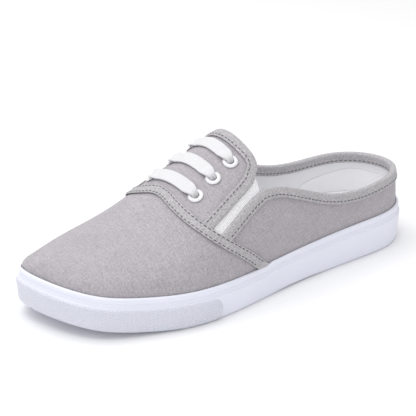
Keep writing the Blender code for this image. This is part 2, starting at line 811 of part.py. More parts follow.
def build_seam_tape():
    """Tape over the seam behind the vamp, from lip to lip across the ridge."""
    grid = seam_grid(SEAM_TAPE_WIDTH / 2, SEAM_TAPE_WIDTH / 2)
    return lasted_sheet("seam_tape", [grid], CLEARANCE, CLEARANCE + TAPE_THICKNESS, TAPE)


def cut_at_seam(binding_piece):
    """Ends a binding just behind the seam tape."""
    grid = seam_grid(2 * BINDING_WIDTH, SEAM_TAPE_WIDTH / 2 + CLEARANCE)
    name = binding_piece.name + "_end_cutter"
    cutter = lasted_sheet(name, [grid], -4 * UPPER_WALL, 2 * UPPER_WALL, TAPE)
    cut_by(binding_piece, cutter)


def binding(name, path, into):
    """Tape folded over an edge of the upper: an outer and an inner flap and the fold between.
    Into gives, for each place, a rough direction from the edge into the upper."""
    points = last_point(path[:, 0], path[:, 1])
    along = np.gradient(points, axis=0)
    lift = CLEARANCE + TAPE_THICKNESS
    rings = []
    for (turn, rise), run, hint in zip(path, along, into):
        normal = last_normal(turn, rise)
        inward = np.cross(normal, run / np.linalg.norm(run))
        inward *= np.sign(inward @ hint)
        half, far = walk(turn, rise, inward, BINDING_WIDTH / 2), walk(turn, rise, inward, BINDING_WIDTH)
        edge, waist, foot = last_point(turn, rise), last_point(*half), last_point(*far)
        waist_normal, foot_normal = last_normal(*half), last_normal(*far)
        under = -UPPER_WALL
        rings.append(
            [
                foot + foot_normal * CLEARANCE,
                foot + foot_normal * lift,
                waist + waist_normal * lift,
                edge + normal * lift,
                edge - inward * lift + normal * (under * 0.25),
                edge - inward * lift + normal * (under * 0.75),
                edge + normal * (under - lift),
                foot + foot_normal * (under - lift),
                foot + foot_normal * (under - CLEARANCE),
                edge + normal * (under - CLEARANCE) - inward * CLEARANCE,
                edge + normal * CLEARANCE - inward * CLEARANCE,
                waist + waist_normal * CLEARANCE,
            ]
        )
    return swept(name, rings, TAPE)


def build_bindings():
    """The quarters' binding round the collar, and the saddle's binding."""
    rear = np.concatenate([2 * math.pi - REAR_TURNS[:0:-1], REAR_TURNS + 2 * math.pi])
    collar = np.array([(turn % (2 * math.pi), float(topline_rise(station_of(turn)))) for turn in rear])
    cut_at_seam(binding("collar_binding", collar, np.tile([0, 0, -1.0], (len(collar), 1))))
    outer = saddle_edge(SADDLE_BINDING_ROWS, 0, len(SADDLE_EDGE) - 1)
    saddle = np.concatenate([outer, other_side(outer)[-2::-1]])
    hints = last_point(np.full(len(saddle), turn_of(0.60)), np.full(len(saddle), 1.0))
    cut_at_seam(binding("saddle_binding", saddle, hints - last_point(saddle[:, 0], saddle[:, 1])))


def inset_path(path, towards, distance):
    """A path on the last, moved across itself towards another path."""
    along = np.gradient(last_point(path[:, 0], path[:, 1]), axis=0)
    hints = last_point(towards[:, 0], towards[:, 1]) - last_point(path[:, 0], path[:, 1])
    moved = []
    for (turn, rise), run, hint in zip(path, along, hints):
        across = np.cross(last_normal(turn, rise), run)
        moved.append(walk(turn, rise, across * np.sign(across @ hint), distance))
    return np.array(moved)


def gore_grid(mirrored):
    """(turn, rise) rows across the slot between quarter and saddle, clear of both bindings."""
    top = saddle_edge(GORE_ROWS, GORE_FIRST_KNOT, GORE_LAST_KNOT)
    low = np.array([(turn, float(topline_rise(station_of(turn)))) for turn, _ in top])
    if mirrored:
        top, low = other_side(top), other_side(low)
    inset = 2 * CLEARANCE + TAPE_THICKNESS
    low, top = inset_path(low, top, inset), inset_path(top, low, inset)
    return np.stack([low, (low + top) / 2, top], 1)


def build_gores():
    """White elastic in the slot between saddle and quarter, on each side."""
    low = -(UPPER_WALL + GORE_THICKNESS) / 2
    for name, mirrored in (("gore_outer", False), ("gore_inner", True)):
        lasted_sheet(name, [gore_grid(mirrored)], low, low + GORE_THICKNESS, ELASTIC)


def centre_on_floor():
    """Moves every piece so that the shoe's bounding box is centred over the origin."""
    pieces = [piece for piece in bpy.data.objects if piece.type == "MESH"]
    shown = [piece for piece in pieces if not piece.hide_render]
    corners = np.array([vertex.co for piece in shown for vertex in piece.data.vertices])
    low, high = corners.min(axis=0), corners.max(axis=0)
    middle = (low + high) / 2
    for piece in pieces:
        piece.data.transform(Matrix.Translation((-middle[0], -middle[1], -low[2])))


def build():
    for piece in list(bpy.data.objects):
        bpy.data.objects.remove(piece)
    build_outsole()
    build_bumper()
    build_insole()
    build_upper()
    build_seam_tape()
    build_bindings()
    build_gores()
    build_eyelets()
    build_laces()
    centre_on_floor()


build()
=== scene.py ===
"""Canvas slip-on shoe with a low back: its visible pieces and their finishes.

Metres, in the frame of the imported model: +X to the toe, +Y to the wearer's left, +Z up, and the
origin on the floor at the centre of the shoe. Every fabric and rubber piece is worked out on one
last. A place on the last is (turn, rise): turn runs round the sole, 0 at the heel, pi at the toe
and the outer side between them; rise is 0 at the sole's lip and 1 on the ridge of the instep.
"""

from __future__ import annotations

import logging
import math
from contextlib import contextmanager
from dataclasses import dataclass, field
from enum import Enum
from typing import Iterator, Sequence

import bpy
import numpy as np
from mathutils import Matrix, Vector

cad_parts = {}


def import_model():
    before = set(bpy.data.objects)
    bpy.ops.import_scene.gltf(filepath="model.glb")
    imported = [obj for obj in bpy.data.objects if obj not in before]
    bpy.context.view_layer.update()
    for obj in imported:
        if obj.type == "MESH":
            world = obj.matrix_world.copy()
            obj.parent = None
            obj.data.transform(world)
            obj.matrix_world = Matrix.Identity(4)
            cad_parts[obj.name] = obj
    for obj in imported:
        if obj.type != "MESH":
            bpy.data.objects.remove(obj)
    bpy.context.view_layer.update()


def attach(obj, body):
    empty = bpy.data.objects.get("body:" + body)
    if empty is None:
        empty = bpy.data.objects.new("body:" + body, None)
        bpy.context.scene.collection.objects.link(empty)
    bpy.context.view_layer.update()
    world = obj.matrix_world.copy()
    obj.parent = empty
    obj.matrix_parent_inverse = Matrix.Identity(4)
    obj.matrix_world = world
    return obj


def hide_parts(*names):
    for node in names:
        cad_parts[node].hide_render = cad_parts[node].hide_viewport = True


MM = 0.001
TAU = 2 * math.pi
LOG = logging.getLogger("shoe")

Array = np.ndarray
Colour = tuple[float, float, float]


class Side(Enum):
    """The two sides of a shoe."""

    OUTER = 1
    INNER = -1


class Curve:
    """A smooth cubic curve through values at knots, closed on itself if it has a period."""

    def __init__(self, knots: Sequence[float], values: Sequence[float], period: float = 0.0) -> None:
        """Solves for the curve's bends.

        Args:
            knots: places of the values, rising.
            values: the values.
            period: length after which the curve repeats, or 0.
        """
        knots, values = np.asarray(knots, float), np.asarray(values, float)
        if period:
            knots = np.concatenate([knots[-4:] - period, knots, knots[:4] + period])
            values = np.concatenate([values[-4:], values, values[:4]])
        steps = np.diff(knots)
        slopes = np.diff(values) / steps
        count = len(knots)
        matrix, right = np.eye(count), np.zeros(count)
        for k in range(1, count - 1):
            matrix[k, k - 1 : k + 2] = steps[k - 1], 2 * (steps[k - 1] + steps[k]), steps[k]
            right[k] = 6 * (slopes[k] - slopes[k - 1])
        self.knots, self.values, self.steps, self.period = knots, values, steps, period
        self.bends = np.linalg.solve(matrix, right)

    def __call__(self, place: Array | float) -> Array:
        """The curve's value at a place.

        Args:
            place: where to read it, or several such places.

        Returns:
            The curve's value at each place.
        """
        place = np.asarray(place, float)
        if self.period:
            place = np.mod(place, self.period)
        k = np.clip(np.searchsorted(self.knots, place) - 1, 0, len(self.knots) - 2)
        step = self.steps[k]
        ahead, behind = (self.knots[k + 1] - place) / step, (place - self.knots[k]) / step
        bend = (ahead**3 - ahead) * self.bends[k] + (behind**3 - behind) * self.bends[k + 1]
        return ahead * self.values[k] + behind * self.values[k + 1] + bend * step**2 / 6


def smooth_step(share: Array | float) -> Array:
    """A share from 0 to 1, eased at both ends."""
    share = np.clip(share, 0, 1)
    return share * share * (3 - 2 * share)


def columns_of(table: Sequence[Sequence[float]]) -> list[Array]:
    """A table's columns as arrays."""
    return [np.array(column) for column in zip(*table)]


def shaded(colour: Colour, share: float) -> Colour:
    """A colour darkened to a share of itself."""
    return tuple(channel * share for channel in colour)


def unit(vectors: Array) -> Array:
    """Vectors scaled to length one."""
    return vectors / np.maximum(np.linalg.norm(vectors, axis=-1, keepdims=True), 1e-12)


@dataclass
class Last:
    """The shoe's form: the sole's outline and heights, and the surface that the upper follows."""

    length: float = 270 * MM
    ball_width: float = 106 * MM
    lip_height_at_heel: float = 24 * MM
    floor_height_at_heel: float = 13 * MM
    toe_spring: float = 8 * MM
    arch_lift: float = 0.6 * MM
    lip_thickness: float = 2.7 * MM
    clearance: float = 0.3 * MM
    instep_rise: float = 68 * MM
    quarter_rise: float = 40.5 * MM
    ridge_offset: float = 3 * MM
    lip_step: float = 1.0 * MM
    lip_step_station: float = 0.512
    lip_step_run: float = 4 * MM
    toe_turn_station: float = 0.80
    toe_turn_pull: float = 1.125
    toe_crown_station: float = 0.954
    heel_turn_station: float = 0.15
    heel_turn_pull: float = 6.5
    gore_end: float = 0.645
    centre: tuple[float, float] = (135.56 * MM, 0.58 * MM)
    # share of the length; outer and inner side as shares of the ball width
    outline_table: tuple = (
        (0.00, 0.000, 0.000),
        (0.03, 0.190, 0.196),
        (0.10, 0.306, 0.310),
        (0.20, 0.344, 0.348),
        (0.32, 0.370, 0.345),
        (0.44, 0.410, 0.360),
        (0.55, 0.464, 0.420),
        (0.65, 0.506, 0.481),
        (0.75, 0.502, 0.500),
        (0.85, 0.430, 0.452),
        (0.94, 0.304, 0.338),
        (1.00, -0.135, 0.135),
    )
    # share of the length; lip, floor and ground as shares of their driving heights
    height_table: tuple = (
        (0.00, 1.025, 1.000, 0.00),
        (0.25, 0.985, 0.900, 0.00),
        (0.50, 0.890, 0.720, 0.00),
        (0.62, 0.900, 0.660, 0.00),
        (0.75, 0.922, 0.660, 0.03),
        (0.88, 0.990, 0.820, 0.36),
        (1.00, 1.205, 1.150, 1.00),
    )
    # share of the length; share of the instep rise; spread of the section
    ridge_table: tuple = (
        (0.000, 1.150, 1.55),
        (0.200, 1.150, 1.45),
        (0.380, 1.100, 1.30),
        (0.500, 0.998, 1.05),
        (0.580, 0.842, 1.00),
        (0.660, 0.640, 0.98),
        (0.720, 0.490, 0.96),
        (0.800, 0.352, 0.94),
        (0.880, 0.255, 0.92),
        (0.955, 0.160, 0.90),
    )
    # share of the length; share of the quarter rise
    topline_table: tuple = (
        (0.000, 0.535),
        (0.060, 0.533),
        (0.120, 0.520),
        (0.180, 0.498),
        (0.240, 0.517),
        (0.300, 0.602),
        (0.360, 0.752),
        (0.420, 0.913),
        (0.455, 0.983),
        (0.485, 1.005),
        (0.507, 0.998),
        (0.541, 0.925),
        (0.580, 0.797),
        (0.645, 0.572),
    )
    # share of the length; rise
    saddle_table: tuple = (
        (0.645, 0.452),
        (0.600, 0.469),
        (0.564, 0.485),
        (0.531, 0.500),
        (0.510, 0.523),
        (0.494, 0.565),
        (0.490, 0.612),
        (0.492, 0.697),
        (0.496, 0.808),
        (0.499, 1.000),
    )
    saddle_corner: int = 5
    seam_table: tuple = (
        (0.523, -0.015),
        (0.529, 0.000),
        (0.584, 0.136),
        (0.633, 0.288),
        (0.665, 0.458),
        (0.682, 0.660),
        (0.682, 0.819),
        (0.677, 0.930),
        (0.6755, 1.000),
    )
    eyelet_table: tuple = ((0.641, 0.728), (0.591, 0.729), (0.540, 0.731))
    inner_eyelet_drop: float = 0.03

    def __post_init__(self) -> None:
        """Fits the smooth curves to the tables."""
        stations, outer, inner = columns_of(self.outline_table)
        turns = self.turn_of(stations)
        knots = np.concatenate([turns, TAU - turns[-2:0:-1]])
        sides = np.concatenate([outer, -inner[-2:0:-1]]) * self.ball_width
        self.side_curve = Curve(knots, sides, TAU)
        stations, lips, floors, grounds = columns_of(self.height_table)
        self.lip_curve, self.floor_curve = Curve(stations, lips), Curve(stations, floors)
        self.ground_curve = Curve(stations, grounds)
        stations, ridges, spreads = columns_of(self.ridge_table)
        self.ridge_curve, self.spread_curve = Curve(stations, ridges), Curve(stations, spreads)
        self.topline_curve = Curve(*columns_of(self.topline_table))

    @staticmethod
    def station_of(turn: Array | float) -> Array:
        """Share of the sole's length from the heel."""
        return (1 - np.cos(turn)) / 2

    @staticmethod
    def turn_of(station: Array | float) -> Array:
        """The turn of a station on the outer side."""
        return np.arccos(1 - 2 * np.clip(station, 0, 1))

    def outline(self, turn: Array | float, inset: Array | float = 0.0) -> Array:
        """The sole's outline from above, moved inwards by inset.

        Args:
            turn: the turn, or several turns.
            inset: distance inside the outline.

        Returns:
            (x, y) of each point.
        """
        turn = np.asarray(turn, float)
        nudge = 1e-4

        def place(at: Array) -> Array:
            """A point of the outline itself."""
            x, y = self.length * self.station_of(at), self.side_curve(at)
            return np.stack([x - self.centre[0], y - self.centre[1]], -1)

        along = unit(place(turn + nudge) - place(turn - nudge))
        inward = np.stack([along[..., 1], -along[..., 0]], -1)
        return place(turn) + inward * np.asarray(inset)[..., None]

    def ground(self, station: Array | float) -> Array:
        """Height of the sole's underside.

        Args:
            station: share of the sole's length from the heel.

        Returns:
            The height.
        """
        station = np.asarray(station, float)
        arch = self.arch_lift * smooth_step((station - 0.30) / 0.08) * smooth_step((0.52 - station) / 0.08)
        return arch + self.toe_spring * np.clip(self.ground_curve(station), 0, None) * (station > 0.62)

    def lip(self, station: Array | float) -> Array:
        """Height of the sole's lip, a step lower in front of the seam.

        Args:
            station: share of the sole's length from the heel.

        Returns:
            The height.
        """
        station = np.asarray(station, float)
        step = smooth_step((station - self.lip_step_station) * self.length / self.lip_step_run + 0.5)
        drop = self.lip_step * step * smooth_step((0.9 - station) / 0.2)
        return self.lip_height_at_heel * self.lip_curve(station) - drop

    def floor(self, station: Array | float) -> Array:
        """Height of the cup's floor."""
        return self.floor_height_at_heel * self.floor_curve(station)

    def crown(self, station: Array | float) -> Array:
        """Height of the ridge of the instep."""
        return self.lip(station) + self.instep_rise * self.ridge_curve(station)

    def point(self, turn: Array | float, rise: Array | float) -> Array:
        """A place on the outside of the upper.

        Args:
            turn: the turn, or several turns.
            rise: the rise, or several rises.

        Returns:
            (x, y, z) of each place.
        """
        turn, rise = np.broadcast_arrays(np.asarray(turn, float), np.asarray(rise, float))
        station = self.station_of(turn)
        toe_pull = self.toe_turn_pull * np.clip(station - self.toe_turn_station, 0, None) ** 2
        heel_pull = self.heel_turn_pull * np.clip(self.heel_turn_station - station, 0, None) ** 2
        top = np.minimum(station - toe_pull + heel_pull, self.toe_crown_station)
        foot = self.outline(turn, self.lip_thickness + self.clearance)
        lip, crown_height = self.lip(station), self.crown(top)
        ridge_x = self.length * top - self.centre[0]
        ridge_y = -self.ridge_offset * smooth_step(top * 4) - self.centre[1]
        ridge = np.stack([ridge_x, ridge_y], -1)
        nudge = 1e-3
        fall = (self.crown(top + nudge) - self.crown(top - nudge)) / (2 * nudge * self.length)
        angle = np.clip(rise, 0, None) * math.pi / 2
        spread = np.cos(angle)
        spread = np.sign(spread) * np.abs(spread) ** self.spread_curve(top)
        plan = ridge + (foot - ridge) * spread[..., None]
        height = lip + (crown_height - lip) * np.sin(angle)
        height += fall * (plan[..., 0] - ridge_x) * np.sin(angle) ** 2 * (top > self.toe_turn_station)
        sunk = np.clip(rise, None, 0) * (lip - self.floor(station) - self.clearance)
        return np.concatenate([plan, (height + sunk)[..., None]], -1)

    def slopes(self, turn: Array | float, rise: Array | float) -> tuple[Array, Array]:
        """How a place on the last moves with turn and with rise.

        Args:
            turn: the turn, or several turns.
            rise: the rise, or several rises.

        Returns:
            The rate with turn and the rate with rise.
        """
        nudge = 1e-4
        turn, rise = np.asarray(turn, float), np.asarray(rise, float)
        rise = np.where(np.abs(turn - math.pi) < 0.09, np.minimum(rise, 0.985), rise)
        by_turn = (self.point(turn + nudge, rise) - self.point(turn - nudge, rise)) / (2 * nudge)
        by_rise = (self.point(turn, rise + nudge) - self.point(turn, rise - nudge)) / (2 * nudge)
        return by_turn, by_rise

    def normal(self, turn: Array | float, rise: Array | float) -> Array:
        """The direction out of the last."""
        by_turn, by_rise = self.slopes(turn, rise)
        return unit(np.cross(by_rise, by_turn))

    def at(self, places: Array) -> Array:
        """Points of the last's surface at (turn, rise) places."""
        return self.point(places[..., 0], places[..., 1])

    def raised(self, places: Array, height: Array | float) -> Array:
        """Points above the last's surface, or below it where the height is negative."""
        return self.at(places) + self.normal(places[..., 0], places[..., 1]) * np.asarray(height)[..., None]

    def walk(self, places: Array, way: Array, distance: Array | float, strides: int = 4) -> Array:
        """Walks over the last from each place.

        Args:
            places: (turn, rise) of each start.
            way: rough direction in space from each start.
            distance: how far to go, also below 0.
            strides: how many steps the walk takes.

        Returns:
            The (turn, rise) reached from each start.
        """
        turn, rise = places[..., 0], places[..., 1]
        for _ in range(strides):
            by_turn, by_rise = self.slopes(turn, rise)
            normal = unit(np.cross(by_rise, by_turn))
            step = unit(way - normal * (way * normal).sum(-1, keepdims=True))
            step = step * np.broadcast_to(distance, turn.shape)[..., None] / strides
            tt, rr, tr = (by_turn**2).sum(-1), (by_rise**2).sum(-1), (by_turn * by_rise).sum(-1)
            along, up = (step * by_turn).sum(-1), (step * by_rise).sum(-1)
            spread = tt * rr - tr * tr
            turn = turn + (along * rr - up * tr) / spread
            rise = rise + (up * tt - along * tr) / spread
        return np.stack([turn, rise], -1)

    def topline_rise(self, station: Array | float) -> Array:
        """Rise of the quarters' top edge.

        Args:
            station: share of the sole's length from the heel.

        Returns:
            The rise of the edge.
        """
        height = self.quarter_rise * self.topline_curve(station)
        share = height / (self.instep_rise * self.ridge_curve(station))
        return np.arcsin(np.clip(share, 0, 1)) * 2 / math.pi

    def drawn(
        self, table: Sequence[Sequence[float]], count: int, start: float = 0, end: float | None = None
    ) -> Array:
        """(turn, rise) places spread evenly along a curve through a table of (station, rise).

        Args:
            table: (station, rise) rows.
            count: how many places to return.
            start: row of the table to start at, which may lie between two rows.
            end: row of the table to end at, or None for the last.

        Returns:
            (turn, rise) of each place.
        """
        points = np.array(table, float)
        weights = np.array([self.length, self.instep_rise * math.pi / 2])
        steps = np.linalg.norm(np.diff(points, axis=0) * weights, axis=1)
        knots = np.concatenate([[0], np.cumsum(steps)])
        order = np.arange(len(knots))
        end = len(points) - 1 if end is None else end
        places = np.linspace(np.interp(start, order, knots), np.interp(end, order, knots), count)
        station, rise = (Curve(knots, points[:, k])(places) for k in (0, 1))
        return np.stack([self.turn_of(station), rise], -1)

    @staticmethod
    def across(places: Array) -> Array:
        """The same places on the shoe's inner side."""
        return np.stack([TAU - places[..., 0], places[..., 1]], -1)

    @classmethod
    def mirrored(cls, half: Array) -> Array:
        """A line that ends on the ridge, run on down the inner side."""
        return np.concatenate([half, cls.across(half)[-2::-1]])

    def seam(self, count: int) -> Array:
        """(turn, rise) along the seam from the outer lip over the ridge to the inner lip."""
        return self.mirrored(self.drawn(self.seam_table, count))

    def seam_at(self, rises: Array) -> Array:
        """(turn, rise) of the seam at given rises."""
        seam = self.drawn(self.seam_table, 200)
        return np.stack([np.interp(rises, seam[:, 1], seam[:, 0]), rises], -1)

    def eyelets(self) -> list[tuple[Side, float, float]]:
        """Side, turn and rise of each eyelet.

        Returns:
            Pairs from the front, the outer eyelet before the inner.
        """
        found = []
        for station, rise in self.eyelet_table:
            turn = float(self.turn_of(station))
            found.append((Side.OUTER, turn, rise))
            found.append((Side.INNER, TAU - turn, rise - self.inner_eyelet_drop))
        return found

    def frame_at(self, turn: float, rise: float) -> tuple[Array, Array, Array, Array]:
        """Point on the last, its normal, the way forward on the surface, and across.

        Args:
            turn: the turn, or several turns.
            rise: the rise, or several rises.

        Returns:
            The point and the three directions.
        """
        point, normal = self.point(turn, rise), self.normal(turn, rise)
        forward = unit(np.array([1.0, 0, 0]) - normal * normal[0])
        return point, normal, forward, np.cross(normal, forward)


def patch(low: Array, high: Array, front: Array, rear: Array) -> Array:
    """A grid of places between four edges that meet at their ends.

    Args:
        low: first long edge.
        high: second long edge.
        front: edge from low's start to high's start.
        rear: edge from low's end to high's end.

    Returns:
        Places as (along, across, 2).
    """
    a = np.linspace(0, 1, len(low))[:, None, None]
    b = np.linspace(0, 1, len(front))[None, :, None]
    corners = (1 - a) * ((1 - b) * low[0] + b * high[0]) + a * ((1 - b) * low[-1] + b * high[-1])
    return (1 - b) * low[:, None] + b * high[:, None] + (1 - a) * front[None] + a * rear[None] - corners


def run_of(points: Array) -> Array:
    """Distance walked along a path, at each of its points."""
    return np.concatenate([[0], np.cumsum(np.linalg.norm(np.diff(points, axis=0), axis=1))])


def flat_of(walked: Array, across: Array) -> Array:
    """Flat places of a strip's crossings, from the distances along it and across it."""
    return np.stack(np.broadcast_arrays(walked[:, None], across), -1)


class Bench:
    """Makes and shapes pieces with Blender's own modelling operators."""

    @staticmethod
    def clear() -> None:
        """Leaves edit mode and deselects everything."""
        if bpy.context.object and bpy.context.object.mode != "OBJECT":
            bpy.ops.object.mode_set(mode="OBJECT")
        bpy.ops.object.select_all(action="DESELECT")

    @classmethod
    def pick(cls, piece: bpy.types.Object) -> None:
        """Makes one piece the only selected and the active one.

        Args:
            piece: the piece.
        """
        cls.clear()
        piece.select_set(True)
        bpy.context.view_layer.objects.active = piece

    @classmethod
    @contextmanager
    def editing(cls, piece: bpy.types.Object, action: str = "SELECT") -> Iterator[None]:
        """Edit mode on one piece, with all of it selected or, by DESELECT, none.

        Args:
            piece: the piece.
            action: SELECT or DESELECT.

        Returns:
            A context that leaves edit mode at its end.
        """
        cls.pick(piece)
        bpy.ops.object.mode_set(mode="EDIT")
        bpy.ops.mesh.select_all(action=action)
        yield
        bpy.ops.object.mode_set(mode="OBJECT")

    @staticmethod
    def started(name: str) -> bpy.types.Object:
        """Names the primitive that was just added.

        Args:
            name: the piece's name.

        Returns:
            The piece.
        """
        piece = bpy.context.object
        piece.name = piece.data.name = name
        return piece

    @classmethod
    def sheet(cls, name: str, points: Array, flat: Array) -> bpy.types.Object:
        """A grid laid over given points.

        Args:
            name: the piece's name.
            points: where each crossing goes, as (along, across, 3).
            flat: each crossing's place on the flat cloth in metres, as (along, across, 2).

        Returns:
            The sheet, with a UV map in metres.
        """
        cls.clear()
        along, across = points.shape[:2]
        bpy.ops.mesh.primitive_grid_add(x_subdivisions=along - 1, y_subdivisions=across - 1, size=1)
        piece = cls.started(name)
        mesh = piece.data
        where = np.empty(len(mesh.vertices) * 3)
        mesh.vertices.foreach_get("co", where)
        where = where.reshape(-1, 3)
        i = np.rint((where[:, 0] + 0.5) * (along - 1)).astype(int)
        j = np.rint((where[:, 1] + 0.5) * (across - 1)).astype(int)
        mesh.vertices.foreach_set("co", points[i, j].ravel())
        corners = np.empty(len(mesh.loops), int)
        mesh.loops.foreach_get("vertex_index", corners)
        mesh.uv_layers.active.data.foreach_set("uv", flat[i, j][corners].ravel())
        mesh.update()
        return piece

    @classmethod
    def merge(cls, piece: bpy.types.Object, distance: float = 0.01 * MM) -> None:
        """Merges doubled points and turns the faces outwards.

        Args:
            piece: the piece.
            distance: points closer than this become one.
        """
        with cls.editing(piece):
            bpy.ops.mesh.remove_doubles(threshold=distance)
            bpy.ops.mesh.normals_make_consistent(inside=False)

    @classmethod
    def finish(cls, piece: bpy.types.Object, kind: str, **settings: object) -> None:
        """Adds a modifier and applies it.

        Args:
            piece: the piece.
            kind: the modifier's type.
            settings: the modifier's settings.
        """
        cls.pick(piece)
        modifier = piece.modifiers.new(kind.title(), kind)
        for setting, value in settings.items():
            setattr(modifier, setting, value)
        bpy.ops.object.modifier_apply(modifier=modifier.name)

    @classmethod
    def thicken(cls, piece: bpy.types.Object, thickness: float) -> None:
        """Gives a sheet its thickness, half to each side."""
        cls.finish(piece, "SOLIDIFY", thickness=thickness, offset=0.0, use_even_offset=False)

    @classmethod
    def soften(cls, piece: bpy.types.Object) -> None:
        """Rounds a piece by one subdivision."""
        cls.finish(piece, "SUBSURF", levels=1, render_levels=1)

    @classmethod
    def smooth(cls, piece: bpy.types.Object, degrees: float) -> None:
        """Shades faces smoothly, but for edges sharper than an angle."""
        cls.pick(piece)
        bpy.ops.object.shade_smooth_by_angle(angle=math.radians(degrees))

    @classmethod
    def trim(cls, piece: bpy.types.Object, place: Array, keep: Array) -> None:
        """Cuts a piece off along a plane and closes the cut.

        Args:
            piece: the piece.
            place: a point on the plane.
            keep: the direction from the plane to the side that stays.
        """
        with cls.editing(piece):
            sides = {"clear_inner": False, "clear_outer": True}
            bpy.ops.mesh.bisect(plane_co=tuple(place), plane_no=tuple(-keep), use_fill=True, **sides)

    @classmethod
    def cut(cls, piece: bpy.types.Object, tools: Sequence[bpy.types.Object]) -> None:
        """Cuts the shapes of several tools out of a piece and removes them.

        Args:
            piece: the piece.
            tools: the pieces whose shapes are cut away.
        """
        cutter = cls.joined("cutter", tools)
        cls.pick(cutter)
        bpy.ops.object.transform_apply(location=True, rotation=True, scale=True)
        cls.finish(piece, "BOOLEAN", operation="DIFFERENCE", solver="EXACT", object=cutter)
        bpy.data.objects.remove(cutter)

    @classmethod
    def turned_ring(cls, name: str, profile: Sequence[tuple[float, float]], around: int) -> bpy.types.Object:
        """A ring made by extruding a circle along a profile and bridging its ends.

        Args:
            name: the piece's name.
            profile: (radius, height) pairs round the ring's section.
            around: points in the circle.

        Returns:
            The ring, about the Z axis.
        """
        cls.clear()
        radius, height = profile[0]
        bpy.ops.mesh.primitive_circle_add(vertices=around, radius=radius, location=(0, 0, height))
        piece = cls.started(name)
        bpy.ops.object.transform_apply(location=True, rotation=False, scale=False)
        with cls.editing(piece):
            for (old_radius, old_height), (new_radius, new_height) in zip(profile, profile[1:]):
                bpy.ops.mesh.extrude_region_move()
                scale = new_radius / old_radius
                bpy.ops.transform.resize(value=(scale, scale, 1), center_override=(0, 0, 0))
                bpy.ops.transform.translate(value=(0, 0, new_height - old_height))
            bpy.ops.mesh.select_all(action="DESELECT")
            bpy.ops.mesh.select_non_manifold()
            bpy.ops.mesh.bridge_edge_loops()
        cls.merge(piece)
        return piece

    @classmethod
    def joined(cls, name: str, pieces: Sequence[bpy.types.Object]) -> bpy.types.Object:
        """Several pieces joined into one.

        Args:
            name: the joined piece's name.
            pieces: the pieces.

        Returns:
            The one piece.
        """
        cls.clear()
        for piece in pieces:
            piece.select_set(True)
        bpy.context.view_layer.objects.active = pieces[0]
        bpy.ops.object.join()
        return cls.started(name)

    @classmethod
    def stitches(cls, name: str, path: Array, pitch: float, length: float, radius: float) -> bpy.types.Object:
        """A row of stitches: one modelled, then repeated along a path.

        Args:
            name: the piece's name.
            path: points the thread follows.
            pitch: distance from one stitch to the next.
            length: a stitch's length.
            radius: the thread's radius.

        Returns:
            The row as one mesh.
        """
        cls.clear()
        lying = (0, math.pi / 2, 0)
        bpy.ops.mesh.primitive_uv_sphere_add(segments=6, ring_count=5, radius=radius, rotation=lying)
        row = cls.started(name)
        bpy.ops.object.transform_apply(location=False, rotation=True, scale=False)
        with cls.editing(row):
            bpy.ops.transform.resize(value=(length / (2 * radius), 1, 1))
        total = run_of(path)[-1]
        guide_data = bpy.data.curves.new(name + "_guide", "CURVE")
        guide_data.dimensions = "3D"
        spline = guide_data.splines.new("POLY")
        spline.points.add(len(path) - 1)
        spline.points.foreach_set("co", np.column_stack([path, np.ones(len(path))]).ravel())
        guide = bpy.data.objects.new(name + "_guide", guide_data)
        bpy.context.scene.collection.objects.link(guide)
        count = max(int(total / pitch), 1)
        cls.finish(
            row,
            "ARRAY",
            count=count,
            use_relative_offset=False,
            use_constant_offset=True,
            constant_offset_displace=(total / count, 0, 0),
        )
        row.data.transform(Matrix.Translation((total / count / 2, 0, 0)))
        cls.finish(row, "CURVE", object=guide, deform_axis="POS_X")
        bpy.data.objects.remove(guide)
        return row


class Signal:
    """A socket that arithmetic can be written on: each operator adds a Math node."""

    def __init__(self, tree: bpy.types.NodeTree, socket: bpy.types.NodeSocket) -> None:
        """Wraps a socket of a node tree."""
        self.tree, self.socket = tree, socket

    def _math(self, operation: str, *values: Signal | float) -> Signal:
        """Adds a Math node with these values.

        Args:
            operation: the node's operation.
            values: numbers or signals for its sockets.

        Returns:
            The node's result.
        """
        node = self.tree.nodes.new("ShaderNodeMath")
        node.operation = operation
        for socket, value in zip(node.inputs, values):
            if isinstance(value, Signal):
                self.tree.links.new(value.socket, socket)
            else:
                socket.default_value = value
        return Signal(self.tree, node.outputs[0])

    def __add__(self, other: Signal | float) -> Signal:
        """Sum."""
        return self._math("ADD", self, other)

    def __radd__(self, other: float) -> Signal:
        """Sum with a number first."""
        return self._math("ADD", other, self)

    def __sub__(self, other: Signal | float) -> Signal:
        """Difference."""
        return self._math("SUBTRACT", self, other)

    def __rsub__(self, other: float) -> Signal:
        """Difference from a number."""
        return self._math("SUBTRACT", other, self)

    def __mul__(self, other: Signal | float) -> Signal:
        """Product."""
        return self._math("MULTIPLY", self, other)

    def __rmul__(self, other: float) -> Signal:
        """Product with a number first."""
        return self._math("MULTIPLY", other, self)

    def __pow__(self, other: float) -> Signal:
        """Power."""
        return self._math("POWER", self, other)

    def sine(self) -> Signal:
        """Sine."""
        return self._math("SINE", self)

    def size(self) -> Signal:
        """Without its sign."""
        return self._math("ABSOLUTE", self)


